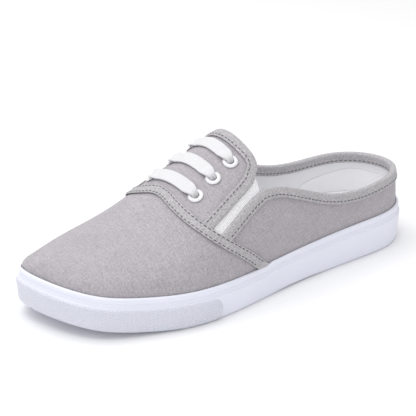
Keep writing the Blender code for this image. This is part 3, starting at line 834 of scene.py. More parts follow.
class Wiring:
    """A material's node tree, with one method for every node that isn't plain arithmetic."""

    def __init__(self, name: str, roughness: float, **constants: float | Colour) -> None:
        """Starts a material.

        Args:
            name: the material's name.
            roughness: how matt it is all over.
            constants: other sockets of the shader that keep one value.
        """
        self.material = bpy.data.materials.new(name)
        self.material.use_nodes = True
        self.tree = self.material.node_tree
        self.shader = self.tree.nodes["Principled BSDF"]
        self.shader.inputs["Roughness"].default_value = roughness
        for name, value in constants.items():
            socket = self.socket_named(self.shader, name)
            socket.default_value = (*value, 1.0) if isinstance(value, tuple) else value

    @staticmethod
    def socket_named(node: bpy.types.Node, name: str) -> bpy.types.NodeSocket:
        """A node's input by its name, with underscores for spaces."""
        wanted = name.replace("_", " ").lower()
        return next(socket for socket in node.inputs if socket.enabled and socket.name.lower() == wanted)

    def node(
        self, kind: str, output: str | int = 0, settings: dict | None = None, **values: object
    ) -> Signal:
        """Adds one node.

        Args:
            kind: the node's type, without its ShaderNode prefix.
            output: the output to return.
            settings: attributes that are set before the sockets.
            values: values or signals for its sockets, named with underscores for spaces.

        Returns:
            The chosen output.
        """
        node = self.tree.nodes.new("ShaderNode" + kind)
        for setting, value in (settings or {}).items():
            setattr(node, setting, value)
        for name, value in values.items():
            socket = self.socket_named(node, name)
            if isinstance(value, Signal):
                self.tree.links.new(value.socket, socket)
            else:
                socket.default_value = (*value, 1.0) if socket.type == "RGBA" and len(value) == 3 else value
        return Signal(self.tree, node.outputs[output])

    def cloth(self) -> tuple[Signal, Signal, Signal]:
        """The piece's UV map in millimetres: along, across, and both as a vector.

        Returns:
            The two distances and the vector.
        """
        flat = self.node("UVMap")
        grown = self.node("VectorMath", settings={"operation": "SCALE"}, Vector=flat, Scale=1 / MM)
        split = self.tree.nodes.new("ShaderNodeSeparateXYZ")
        self.tree.links.new(grown.socket, split.inputs[0])
        return Signal(self.tree, split.outputs[0]), Signal(self.tree, split.outputs[1]), grown

    def place(self) -> Signal:
        """Object coordinates in millimetres."""
        where = self.node("TexCoord", output="Object")
        return self.node("VectorMath", settings={"operation": "SCALE"}, Vector=where, Scale=1 / MM)

    def stretched(self, vector: Signal, x: float, y: float) -> Signal:
        """A flat vector scaled on each axis."""
        return self.node("Mapping", Vector=vector, Scale=(x, y, 1.0))

    def noise(self, vector: Signal, scale: float, detail: float = 2.0, roughness: float = 0.5) -> Signal:
        """Cloudy noise from 0 to 1."""
        return self.node("TexNoise", Vector=vector, Scale=scale, Detail=detail, Roughness=roughness)

    def mix(self, share: Signal, first: Colour, second: Colour) -> Signal:
        """Between two colours.

        Args:
            share: how much of the second colour shows.
            first: the first colour.
            second: the second colour.

        Returns:
            The mixed colour.
        """
        node = self.tree.nodes.new("ShaderNodeMix")
        node.data_type = "RGBA"
        self.tree.links.new(share.socket, node.inputs[0])
        for socket, colour in ((node.inputs[6], first), (node.inputs[7], second)):
            socket.default_value = (*colour, 1.0)
        return Signal(self.tree, node.outputs[2])

    def colour(self, signal: Signal) -> None:
        """Feeds the base colour."""
        self.tree.links.new(signal.socket, self.shader.inputs["Base Color"])

    def roughness(self, signal: Signal) -> None:
        """Feeds the roughness."""
        self.tree.links.new(signal.socket, self.shader.inputs["Roughness"])

    def relief(self, height: Signal, depth: float, strength: float = 1.0) -> None:
        """Feeds the normal with a bump of this depth in metres."""
        bump = self.node("Bump", Height=height, Distance=depth, Strength=strength)
        self.tree.links.new(bump.socket, self.shader.inputs["Normal"])

    def weave(self, along: Signal, across: Signal, pitch: float) -> Signal:
        """Plain weave of over and under threads, from 0 to 1.

        Args:
            along: distance along the cloth.
            across: distance across the cloth.
            pitch: distance from thread to thread.

        Returns:
            The weave's height.
        """
        turn = math.pi / pitch
        warp, weft = (along * turn).sine(), (across * turn).sine()
        return (warp * weft) * 0.5 + 0.5


@dataclass(frozen=True)
class Canvas:
    """Heathered canvas: grey warp over paler weft, in fine uneven streaks."""

    name: str = "grey_canvas"
    dark: Colour = (0.305, 0.283, 0.303)
    light: Colour = (0.560, 0.532, 0.570)
    thread: float = 0.62
    streak: float = 0.7

    def material(self) -> bpy.types.Material:
        """Builds the cloth.

        Returns:
            The material.
        """
        wiring = Wiring(self.name, 0.92, sheen_weight=0.25, sheen_roughness=0.5)
        along, across, flat = wiring.cloth()
        streaks = wiring.noise(wiring.stretched(flat, 1.0 / self.streak, 0.13), 1.0, 3.0, 0.65)
        slubs = wiring.noise(wiring.stretched(flat, 0.16, 1.0 / self.streak), 1.0, 3.0, 0.65)
        clouds = wiring.noise(flat, 0.05, 2.0)
        grain = wiring.noise(flat, 0.9, 2.0, 0.6)
        tone = streaks * 1.4 + slubs * 1.1 + clouds * 0.3 + grain * 1.5 - 1.65
        weave = wiring.weave(along, across, self.thread)
        wiring.colour(wiring.mix(tone * 0.85 + weave * 0.12, self.dark, self.light))
        wiring.relief(weave * 0.6 + streaks * 0.5 + slubs * 0.4 + grain * 0.4, 0.3 * MM, 0.8)
        return wiring.material


@dataclass(frozen=True)
class Tape:
    """Paler folded tape of finer weave."""

    name: str = "grey_tape"
    dark: Colour = (0.315, 0.302, 0.318)
    light: Colour = (0.60, 0.585, 0.605)
    thread: float = 0.5

    def material(self) -> bpy.types.Material:
        """Builds the cloth.

        Returns:
            The material.
        """
        wiring = Wiring(self.name, 0.9, sheen_weight=0.2, sheen_roughness=0.5)
        along, across, flat = wiring.cloth()
        fleck = wiring.noise(flat, 0.85, 3.0, 0.7)
        clouds = wiring.noise(flat, 0.12, 2.0)
        weave = wiring.weave(along, across, self.thread)
        wiring.colour(wiring.mix(fleck * 2.8 + clouds * 0.4 + weave * 0.15 - 1.2, self.dark, self.light))
        wiring.relief(weave * 0.7 + fleck * 0.6, 0.22 * MM, 0.7)
        return wiring.material


@dataclass(frozen=True)
class Thread:
    """Sewing thread, a darker grey than the tape, dark enough to carry painted shade of the stitch grooves
    too.
    """

    name: str = "grey_thread"
    # near black: the thread's own grey, darkened further as painted shade of the grooves that the stitches
    # sink into
    tone: Colour = (0.10, 0.095, 0.105)

    def material(self) -> bpy.types.Material:
        """Builds the thread.

        Returns:
            The material.
        """
        wiring = Wiring(self.name, 0.8, sheen_weight=0.2)
        twist = wiring.noise(wiring.place(), 3.0, 2.0)
        wiring.colour(wiring.mix(twist, shaded(self.tone, 0.6), self.tone))
        return wiring.material


@dataclass(frozen=True)
class Rubber:
    """White moulded rubber, faintly lavender, with a satin skin."""

    name: str = "white_sole"
    tone: Colour = (0.835, 0.85, 0.95)
    # duller tint for the cloudy tone; darkened further, it is also the painted shade in the knurl's grooves
    dull: Colour = (0.805, 0.82, 0.92)
    knurl_pitch: float = 0.0

    def material(self) -> bpy.types.Material:
        """Builds the rubber, knurled where a pitch is given, with painted shade in the knurl's grooves.

        Returns:
            The material.
        """
        wiring = Wiring(self.name, 0.42, specular_ior_level=0.45)
        clouds = wiring.noise(wiring.place(), 0.06, 3.0)
        grain = wiring.noise(wiring.place(), 1.6, 2.0)
        if self.knurl_pitch:
            along, across, _ = wiring.cloth()
            turn = math.pi / self.knurl_pitch
            one = ((along + across * 0.9) * turn).sine().size()
            two = ((along - across * 0.9) * turn).sine().size()
            raised = (one * two) ** 0.5
            # Painted shade: the knurl's grooves are coloured a little darker than its raised diamonds.
            wiring.colour(wiring.mix(raised, shaded(self.dull, 0.94), self.tone))
            wiring.relief(raised + grain * 0.1, 0.5 * MM, 0.8)
        else:
            wiring.colour(wiring.mix(clouds, self.dull, self.tone))
            wiring.relief(grain, 0.05 * MM, 0.5)
        wiring.roughness(clouds * 0.12 + 0.38)
        return wiring.material


@dataclass(frozen=True)
class Elastic:
    """White ribbed elastic, with painted shade in the grooves between its ribs."""

    name: str = "white_elastic"
    tone: Colour = (0.97, 0.97, 0.99)
    # colour of the grooves between the ribs: painted shade
    groove: Colour = (0.91, 0.91, 0.94)
    rib: float = 1.05
    stitch: float = 0.45

    def material(self) -> bpy.types.Material:
        """Builds the elastic.

        Returns:
            The material.
        """
        wiring = Wiring(self.name, 0.85, sheen_weight=0.2)
        along, across, _ = wiring.cloth()
        ribs = (across * (math.pi / self.rib)).sine().size()
        knit = (along * (math.pi / self.stitch)).sine().size()
        # Painted shade: the grooves between the ribs are coloured greyer than the ribs.
        wiring.colour(wiring.mix(ribs**0.6, self.groove, self.tone))
        wiring.relief(ribs + knit * 0.25, 0.3 * MM, 0.9)
        return wiring.material


@dataclass(frozen=True)
class Cotton:
    """White flat woven lace with fine ribs along it, with painted shade in the grooves between them."""

    name: str = "white_cotton"
    tone: Colour = (0.84, 0.84, 0.86)
    # colour of the grooves between ribs and picks: painted shade
    groove: Colour = (0.64, 0.64, 0.67)
    rib: float = 0.8
    pick: float = 0.7

    def material(self) -> bpy.types.Material:
        """Builds the lace's weave.

        Returns:
            The material.
        """
        wiring = Wiring(self.name, 0.85, sheen_weight=0.3)
        along, across, _ = wiring.cloth()
        ribs = (across * (math.pi / self.rib)).sine().size()
        picks = ((along + across * 0.5) * (math.pi / self.pick)).sine().size()
        # Painted shade: the grooves between ribs and picks are coloured darker than the lace's top.
        wiring.colour(wiring.mix((ribs * 0.6 + picks * 0.4) ** 0.6, self.groove, self.tone))
        wiring.relief(ribs * 0.7 + picks * 0.4, 0.25 * MM, 0.8)
        return wiring.material


@dataclass(frozen=True)
class Enamel:
    """Gloss white paint on an eyelet."""

    name: str = "white_enamel"
    tone: Colour = (0.88, 0.88, 0.90)

    def material(self) -> bpy.types.Material:
        """Builds the paint.

        Returns:
            The material.
        """
        wiring = Wiring(self.name, 0.25, coat_weight=0.4, coat_roughness=0.1)
        wear = wiring.noise(wiring.place(), 0.8, 3.0)
        wiring.colour(wiring.mix(wear, shaded(self.tone, 0.94), self.tone))
        wiring.roughness(wear * 0.1 + 0.2)
        return wiring.material


@dataclass(frozen=True)
class Lining:
    """Plain light cloth inside the shoe."""

    name: str = "grey_lining"
    tone: Colour = (0.90, 0.90, 0.93)
    thread: float = 0.5

    def material(self) -> bpy.types.Material:
        """Builds the cloth.

        Returns:
            The material.
        """
        wiring = Wiring(self.name, 0.95, sheen_weight=0.2)
        along, across, flat = wiring.cloth()
        weave = wiring.weave(along, across, self.thread)
        clouds = wiring.noise(flat, 0.08, 2.0)
        wiring.colour(wiring.mix(weave * 0.4 + clouds * 0.6, shaded(self.tone, 0.9), self.tone))
        wiring.relief(weave, 0.12 * MM, 0.6)
        return wiring.material


@dataclass
class SubAssembly:
    """Pieces that are made and dressed together on one last."""

    last: Last

    @staticmethod
    def keep(
        piece: bpy.types.Object,
        finish: bpy.types.Material,
        slot: str,
        replaces: Sequence[str],
        degrees: float,
    ) -> None:
        """Dresses a finished piece and fixes it to the model.

        Args:
            piece: the piece.
            finish: its material.
            slot: not used.
            replaces: CAD nodes that it stands for.
            degrees: edges sharper than this stay sharp.
        """
        Bench.smooth(piece, degrees)
        piece.data.materials.clear()
        piece.data.materials.append(finish)
        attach(piece, "root")
        if replaces:
            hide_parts(*replaces)
        LOG.info("%s: %d faces", piece.name, len(piece.data.polygons))


@dataclass
class CupSole(SubAssembly):
    """The moulded cup sole with its lip bead, the knurled toe bumper and the footbed."""

    around: int = 300
    wall_flare: float = 1.3 * MM
    edge_round: float = 1.2 * MM
    bumper_thickness: float = 0.9 * MM
    bumper_lift: float = 0.5 * MM
    bumper_start_outer: float = 0.665
    bumper_start_inner: float = 0.69
    insole_thickness: float = 4 * MM
    insole_cup: float = 2.5 * MM
    upper_wall: float = 1.8 * MM
    groove_width: float = 2.4 * MM
    groove_depth: float = 1.4 * MM
    groove_margin: float = 11 * MM
    groove_pitch: float = 8 * MM
    # share of the length at the first groove of a field; number of grooves
    groove_fields: tuple = ((0.075, 4), (0.515, 7))
    edge_steps: int = 4
    tread_margin: float = 4 * MM
    floor_round: float = 0.6 * MM
    wall_shares: tuple = (0.3, 0.6, 0.85)
    bumper_columns: int = 181
    bumper_overlap: float = 0.4 * MM
    bumper_bluntness: float = 0.05
    bumper_lean: float = 0.2
    insole_cup_end: float = 0.45
    insole_cup_run: float = 0.3
    # inset from the outline, and drop below the lip's top
    lip_profile: tuple = (
        (0.10 * MM, 7.2 * MM),
        (0.02 * MM, 6.9 * MM),
        (0.02 * MM, 6.5 * MM),
        (0.30 * MM, 6.15 * MM),
        (0.85 * MM, 5.9 * MM),
        (1.00 * MM, 5.4 * MM),
        (1.02 * MM, 4.2 * MM),
        (1.20 * MM, 3.75 * MM),
        (1.35 * MM, 3.5 * MM),
        (1.15 * MM, 3.2 * MM),
        (0.95 * MM, 2.7 * MM),
        (0.85 * MM, 1.9 * MM),
        (0.95 * MM, 1.0 * MM),
        (1.30 * MM, 0.35 * MM),
        (1.85 * MM, 0.0 * MM),
        (2.45 * MM, 0.05 * MM),
        (2.70 * MM, 0.5 * MM),
    )
    # share of the bumper's height; share of its thickness
    bumper_section: tuple = (
        (0.0, -0.3),
        (0.0, 0.45),
        (0.03, 0.85),
        (0.09, 1.0),
        (0.35, 1.0),
        (0.65, 1.0),
        (0.91, 1.0),
        (0.97, 0.85),
        (1.0, 0.45),
        (1.0, -0.3),
    )
    # distance in from the footbed's edge; share of its cup; drop
    footbed_profile: tuple = (
        (0.0 * MM, 1.0, 0.8 * MM),
        (0.4 * MM, 1.0, 0.1 * MM),
        (1.4 * MM, 1.0, 0.0 * MM),
        (5.0 * MM, 0.45, 0.0 * MM),
        (9.0 * MM, 0.12, 0.0 * MM),
        (14.0 * MM, 0.0, 0.0 * MM),
    )

    def ring(self, turns: Array, inset: Array | float, height: Array | float) -> Array:
        """Points round the sole at an inset and a height."""
        plan = self.last.outline(turns, inset)
        return np.concatenate([plan, np.broadcast_to(height, turns.shape)[:, None]], -1)

    def wall_inset(self, height: Array, ground: Array, ledge: Array) -> Array:
        """How far the side wall lies inside the outline."""
        return self.wall_flare * (1 - np.clip((height - ground) / (ledge - ground), 0, 1))

    def cup(self, finish: bpy.types.Material) -> None:
        """The sole: side wall, ledge, groove, lip, inner wall and floor.

        Args:
            finish: the piece's material.
        """
        turns = np.linspace(0, TAU, self.around + 1)
        station = self.last.station_of(turns)
        ground, lip, floor = self.last.ground(station), self.last.lip(station), self.last.floor(station)
        ledge = lip - self.lip_profile[0][1]
        rows = [self.ring(turns, self.wall_flare + self.edge_round + self.tread_margin, ground)]
        for step in range(self.edge_steps + 1):
            angle = step * math.pi / 2 / self.edge_steps
            inset = self.wall_flare + self.edge_round * (1 - math.sin(angle))
            rows.append(self.ring(turns, inset, ground + self.edge_round * (1 - math.cos(angle))))
        for share in self.wall_shares:
            height = ground + self.edge_round + (ledge - ground - self.edge_round) * share
            rows.append(self.ring(turns, self.wall_inset(height, ground, ledge), height))
        rows += [self.ring(turns, inset, lip - drop) for inset, drop in self.lip_profile]
        rows += [self.ring(turns, self.last.lip_thickness, floor + self.floor_round)]
        rows += [self.ring(turns, self.last.lip_thickness + self.floor_round, floor)]
        points = np.stack(rows, 1)
        sole = Bench.sheet("sole_cup", points, flat_of(run_of(points[:, 0]), points[..., 2]))
        self.close(sole)
        self.tread(sole)
        self.keep(sole, finish, "white_sole", ["outsole"], 50)

    @staticmethod
    def close(piece: bpy.types.Object) -> None:
        """Merges the sheet's ends round the sole and fills its two open loops.

        Args:
            piece: the piece.
        """
        Bench.merge(piece, 0.02 * MM)
        with Bench.editing(piece, "DESELECT"):
            bpy.ops.mesh.select_non_manifold()
            bpy.ops.mesh.edge_face_add()
            bpy.ops.mesh.select_all(action="SELECT")
            bpy.ops.mesh.normals_make_consistent(inside=False)

    def tread(self, sole: bpy.types.Object) -> None:
        """Cuts cross grooves under the heel and the forefoot.

        Args:
            sole: the sole.
        """
        bars = []
        for first, count in self.groove_fields:
            for k in range(count):
                station = first + k * self.groove_pitch / self.last.length
                turn = float(self.last.turn_of(station))
                left = self.last.outline(turn)[1] - self.groove_margin
                right = self.last.outline(TAU - turn)[1] + self.groove_margin
                x = self.last.outline(turn)[0]
                Bench.clear()
                place = (float(x), float(left + right) / 2, float(self.last.ground(station)))
                size = (self.groove_width, float(left - right), 2 * self.groove_depth)
                bpy.ops.mesh.primitive_cube_add(size=1, location=place, scale=size)
                bars.append(Bench.started("groove"))
        Bench.cut(sole, bars)

    def bumper(self, finish: bpy.types.Material) -> None:
        """The raised knurled strip round the toe.

        Args:
            finish: the piece's material.
        """
        last = self.last
        first = float(last.turn_of(self.bumper_start_outer))
        final = TAU - float(last.turn_of(self.bumper_start_inner))
        turns = np.linspace(first, final, self.bumper_columns)
        station = last.station_of(turns)
        walked = run_of(last.outline(turns))
        bottom, top = last.ground(station), last.lip(station) - self.lip_profile[0][1]
        low, high = bottom + self.bumper_lift, top + self.bumper_overlap
        radius = (high - low) / 2
        to_end = np.minimum(walked, walked[-1] - walked)
        drop = radius * (1 - np.sqrt(1 - (1 - np.clip(to_end / radius, self.bumper_bluntness, 1)) ** 2))
        low, high = low + drop * self.bumper_lean, high - drop
        rows, heights = [], []
        for share, proud in self.bumper_section:
            height = low + (high - low) * share
            inset = self.wall_inset(height, bottom, top) - self.bumper_thickness * proud
            rows.append(self.ring(turns, inset, height))
            heights.append(height - low)
        piece = Bench.sheet("toe_bumper_strip", np.stack(rows, 1), flat_of(walked, np.stack(heights, 1)))
        self.keep(piece, finish, "white_sole", ["toe_bumper"], 60)

    def footbed(self, finish: bpy.types.Material) -> None:
        """The insole, raised a little round the heel.

        Args:
            finish: the piece's material.
        """
        turns = np.linspace(0, TAU, self.around // 2 + 1)
        station = self.last.station_of(turns)
        edge = self.last.lip_thickness + 2 * self.last.clearance + self.upper_wall
        bottom = self.last.floor(station) + self.last.clearance
        top = bottom + self.insole_thickness
        cup = self.insole_cup * smooth_step((self.insole_cup_end - station) / self.insole_cup_run)
        rows = [self.ring(turns, edge + 2 * MM, bottom), self.ring(turns, edge, bottom + 0.3 * MM)]
        for inset, share, drop in self.footbed_profile:
            rows.append(self.ring(turns, edge + inset, top + cup * share - drop))
        points = np.stack(rows, 1)
        piece = Bench.sheet("footbed", points, points[..., :2].copy())
        self.close(piece)
        self.keep(piece, finish, "white_footbed", ["insole"], 50)


@dataclass
class Upper(SubAssembly):
    """Vamp, laced saddle and quarters, each a cloth panel with its lining behind it."""

    canvas_thickness: float = 0.9 * MM
    lining_thickness: float = 0.7 * MM
    hidden_rise: float = -0.55
    eyelet_hole: float = 2.9 * MM
    toe_ease: float = 13 * MM
    heel_lining_thickness: float = 0.4 * MM
    lining_gap: float = 0.1 * MM
    heel_lining_gap: float = 0.05 * MM
    # crossings along and across each panel
    quarter_grid: tuple[int, int] = (150, 15)
    saddle_grid: tuple[int, int] = (40, 61)
    vamp_grid: tuple[int, int] = (121, 31)
    heel_grid: tuple[int, int] = (71, 8)
    # share of the length; rise of the heel lining's top edge
    heel_edge: tuple = (
        (0.0, 0.080),
        (0.035, 0.092),
        (0.09, 0.074),
        (0.14, 0.052),
        (0.18, 0.02),
        (0.25, -0.22),
        (0.30, -0.5),
    )

    def panel(
        self, name: str, places: Array, flat: Array, depth: float, thickness: float
    ) -> bpy.types.Object:
        """A lasted sheet.

        Args:
            name: the piece's name.
            places: (turn, rise) of each crossing.
            flat: each crossing's place on the flat cloth.
            depth: how far the sheet's middle lies below the last's surface.
            thickness: the cloth's thickness.

        Returns:
            The panel.
        """
        piece = Bench.sheet(name, self.last.raised(places, -depth), flat)
        Bench.merge(piece, 0.05 * MM)
        self.ease_toe(piece)
        Bench.thicken(piece, thickness)
        return piece

    def ease_toe(self, piece: bpy.types.Object) -> None:
        """Smooths the cloth where the ridge of the last runs out over the toe.

        Args:
            piece: the piece.
        """
        crown = Vector(self.last.point(math.pi, 1.0))

        def near(reach: float) -> list[int]:
            """The piece's points within reach of the crown."""
            return [v.index for v in piece.data.vertices if (v.co - crown).length < reach]

        if not near(self.toe_ease):
            return
        with Bench.editing(piece, "DESELECT"):
            bpy.ops.mesh.select_mode(type="VERT")
        for k in near(self.toe_ease / 8):
            piece.data.vertices[k].select = True
        bpy.ops.object.mode_set(mode="EDIT")
        bpy.ops.mesh.merge(type="CENTER")
        bpy.ops.object.mode_set(mode="OBJECT")
        group = piece.vertex_groups.new(name="toe")
        group.add(near(self.toe_ease), 1.0, "REPLACE")
        Bench.finish(piece, "SMOOTH", factor=0.6, iterations=14, vertex_group="toe")
        piece.vertex_groups.clear()

    def quarter_places(self) -> Array:
        """The quarters, from the outer seam round the heel to the inner seam.

        Returns:
            (turn, rise) of each crossing.
        """
        last = self.last
        end = float(last.turn_of(last.gore_end))
        low_end = float(last.seam(60)[1, 0])
        columns, rows = self.quarter_grid
        low = np.stack([np.linspace(low_end, -low_end, columns), np.zeros(columns)], -1)
        turns = np.linspace(end, -end, columns)
        high = np.stack([turns, last.topline_rise(last.station_of(turns))], -1)
        side = last.seam_at(np.linspace(0, high[0, 1], rows))
        side[0], side[-1] = low[0], high[0]
        places = patch(low, high, side, side * [-1, 1])
        sunk = places[:, :1].copy()
        sunk[..., 1] = self.hidden_rise
        return np.concatenate([sunk, places], 1)

    def saddle_places(self) -> Array:
        """The laced saddle, from its outer edge over the ridge to its inner edge.

        Returns:
            (turn, rise) of each crossing.
        """
        last = self.last
        columns, rows = self.saddle_grid
        outer = last.drawn(last.saddle_table, columns, 0, last.saddle_corner)
        rear = last.drawn(last.saddle_table, rows // 2 + 1, last.saddle_corner)
        front = last.seam_at(np.linspace(outer[0, 1], 1, rows // 2 + 1))
        front[0] = outer[0]
        ridge = np.stack([np.linspace(front[-1, 0], rear[-1, 0], columns), np.ones(columns)], -1)
        half = patch(outer, ridge, front, rear)
        return np.concatenate([half, last.across(half)[:, -2::-1]], 1)

    def vamp_places(self) -> Array:
        """The vamp, from the seam round the toe.

        Returns:
            (turn, rise) of each crossing.
        """
        columns, rows = self.vamp_grid
        rises = np.concatenate([[self.hidden_rise], np.linspace(0, 1, rows)])
        starts = self.last.seam_at(rises)[:, 0]
        shares = np.linspace(0, 1, columns)
        turns = starts[None] + (TAU - 2 * starts[None]) * shares[:, None]
        return np.stack([turns, np.broadcast_to(rises, turns.shape)], -1)

    def cloth_plane(self, places: Array, around: bool) -> Array:
        """Flat places of a panel's crossings: unrolled from the heel's rim, or from the ridge.

        Args:
            places: (turn, rise) of each crossing.
            around: whether it is unrolled from the heel's rim.

        Returns:
            Places in metres, as (along, across, 2).
        """
        points = self.last.at(places)
        if around:
            steps = np.linalg.norm(np.diff(points, axis=1), axis=2)
            up = np.concatenate([np.zeros((len(points), 1)), np.cumsum(steps, axis=1)], 1)
            return flat_of(run_of(points[:, 1]), up)
        ridge = self.last.point(places[..., 0], np.ones(places.shape[:2]))
        shares = np.linspace(0, 1, 9)[:, None, None]
        climb = self.last.point(places[..., 0], 1 + (places[..., 1] - 1) * shares)
        arc = np.linalg.norm(np.diff(climb, axis=0), axis=-1).sum(0)
        return ridge[..., :2] + unit((points - ridge)[..., :2]) * arc[..., None]

    def heel_places(self) -> Array:
        """The white heel lining, from the footbed up to a curved edge.

        Returns:
            (turn, rise) of each crossing.
        """
        stations, tops = columns_of(self.heel_edge)
        reach = float(self.last.turn_of(stations[-1]))
        columns, rows = self.heel_grid
        turns = np.linspace(-reach, reach, columns)
        top = Curve(stations, tops)(self.last.station_of(turns))
        shares = np.linspace(0, 1, rows)
        rises = self.hidden_rise + (top[:, None] - self.hidden_rise) * shares
        return np.stack([np.broadcast_to(turns[:, None], rises.shape), rises], -1)

    def build(
        self, canvas: bpy.types.Material, lining: bpy.types.Material, white: bpy.types.Material
    ) -> None:
        """Makes the three canvas panels, the linings behind them and the heel lining.

        Args:
            canvas: the panels' material.
            lining: the linings' material.
            white: the heel lining's material.
        """
        panels = {
            "quarters": (self.quarter_places(), True),
            "saddle": (self.saddle_places(), False),
            "vamp": (self.vamp_places(), False),
        }
        depth = self.canvas_thickness / 2
        inner_depth = self.canvas_thickness + self.lining_gap + self.lining_thickness / 2
        for name, (places, around) in panels.items():
            flat = self.cloth_plane(places, around)
            outside = self.panel(name, places, flat, depth, self.canvas_thickness)
            inside = self.panel(name + "_lining", places, flat, inner_depth, self.lining_thickness)
            if name == "saddle":
                for piece in (outside, inside):
                    self.pierce(piece)
            self.keep(outside, canvas, "grey_canvas", ["upper"] if name == "vamp" else [], 50)
            self.keep(inside, lining, "grey_canvas", (), 50)
        places = self.heel_places()
        depth = inner_depth + (self.lining_thickness + self.heel_lining_thickness) / 2 + self.heel_lining_gap
        flat = self.cloth_plane(places, True)
        heel = self.panel("heel_lining", places, flat, depth, self.heel_lining_thickness)
        self.keep(heel, white, "white_footbed", (), 50)

    def pierce(self, piece: bpy.types.Object) -> None:
        """Cuts the eyelets' holes.

        Args:
            piece: the piece.
        """
        pegs = []
        for _, turn, rise in self.last.eyelets():
            point, normal, _, _ = self.last.frame_at(turn, rise)
            Bench.clear()
            spin = Vector(normal).to_track_quat("Z", "Y").to_euler()
            bpy.ops.mesh.primitive_cylinder_add(
                vertices=24, radius=self.eyelet_hole, depth=14 * MM, location=tuple(point), rotation=spin
            )
            pegs.append(Bench.started("peg"))
        Bench.cut(piece, pegs)


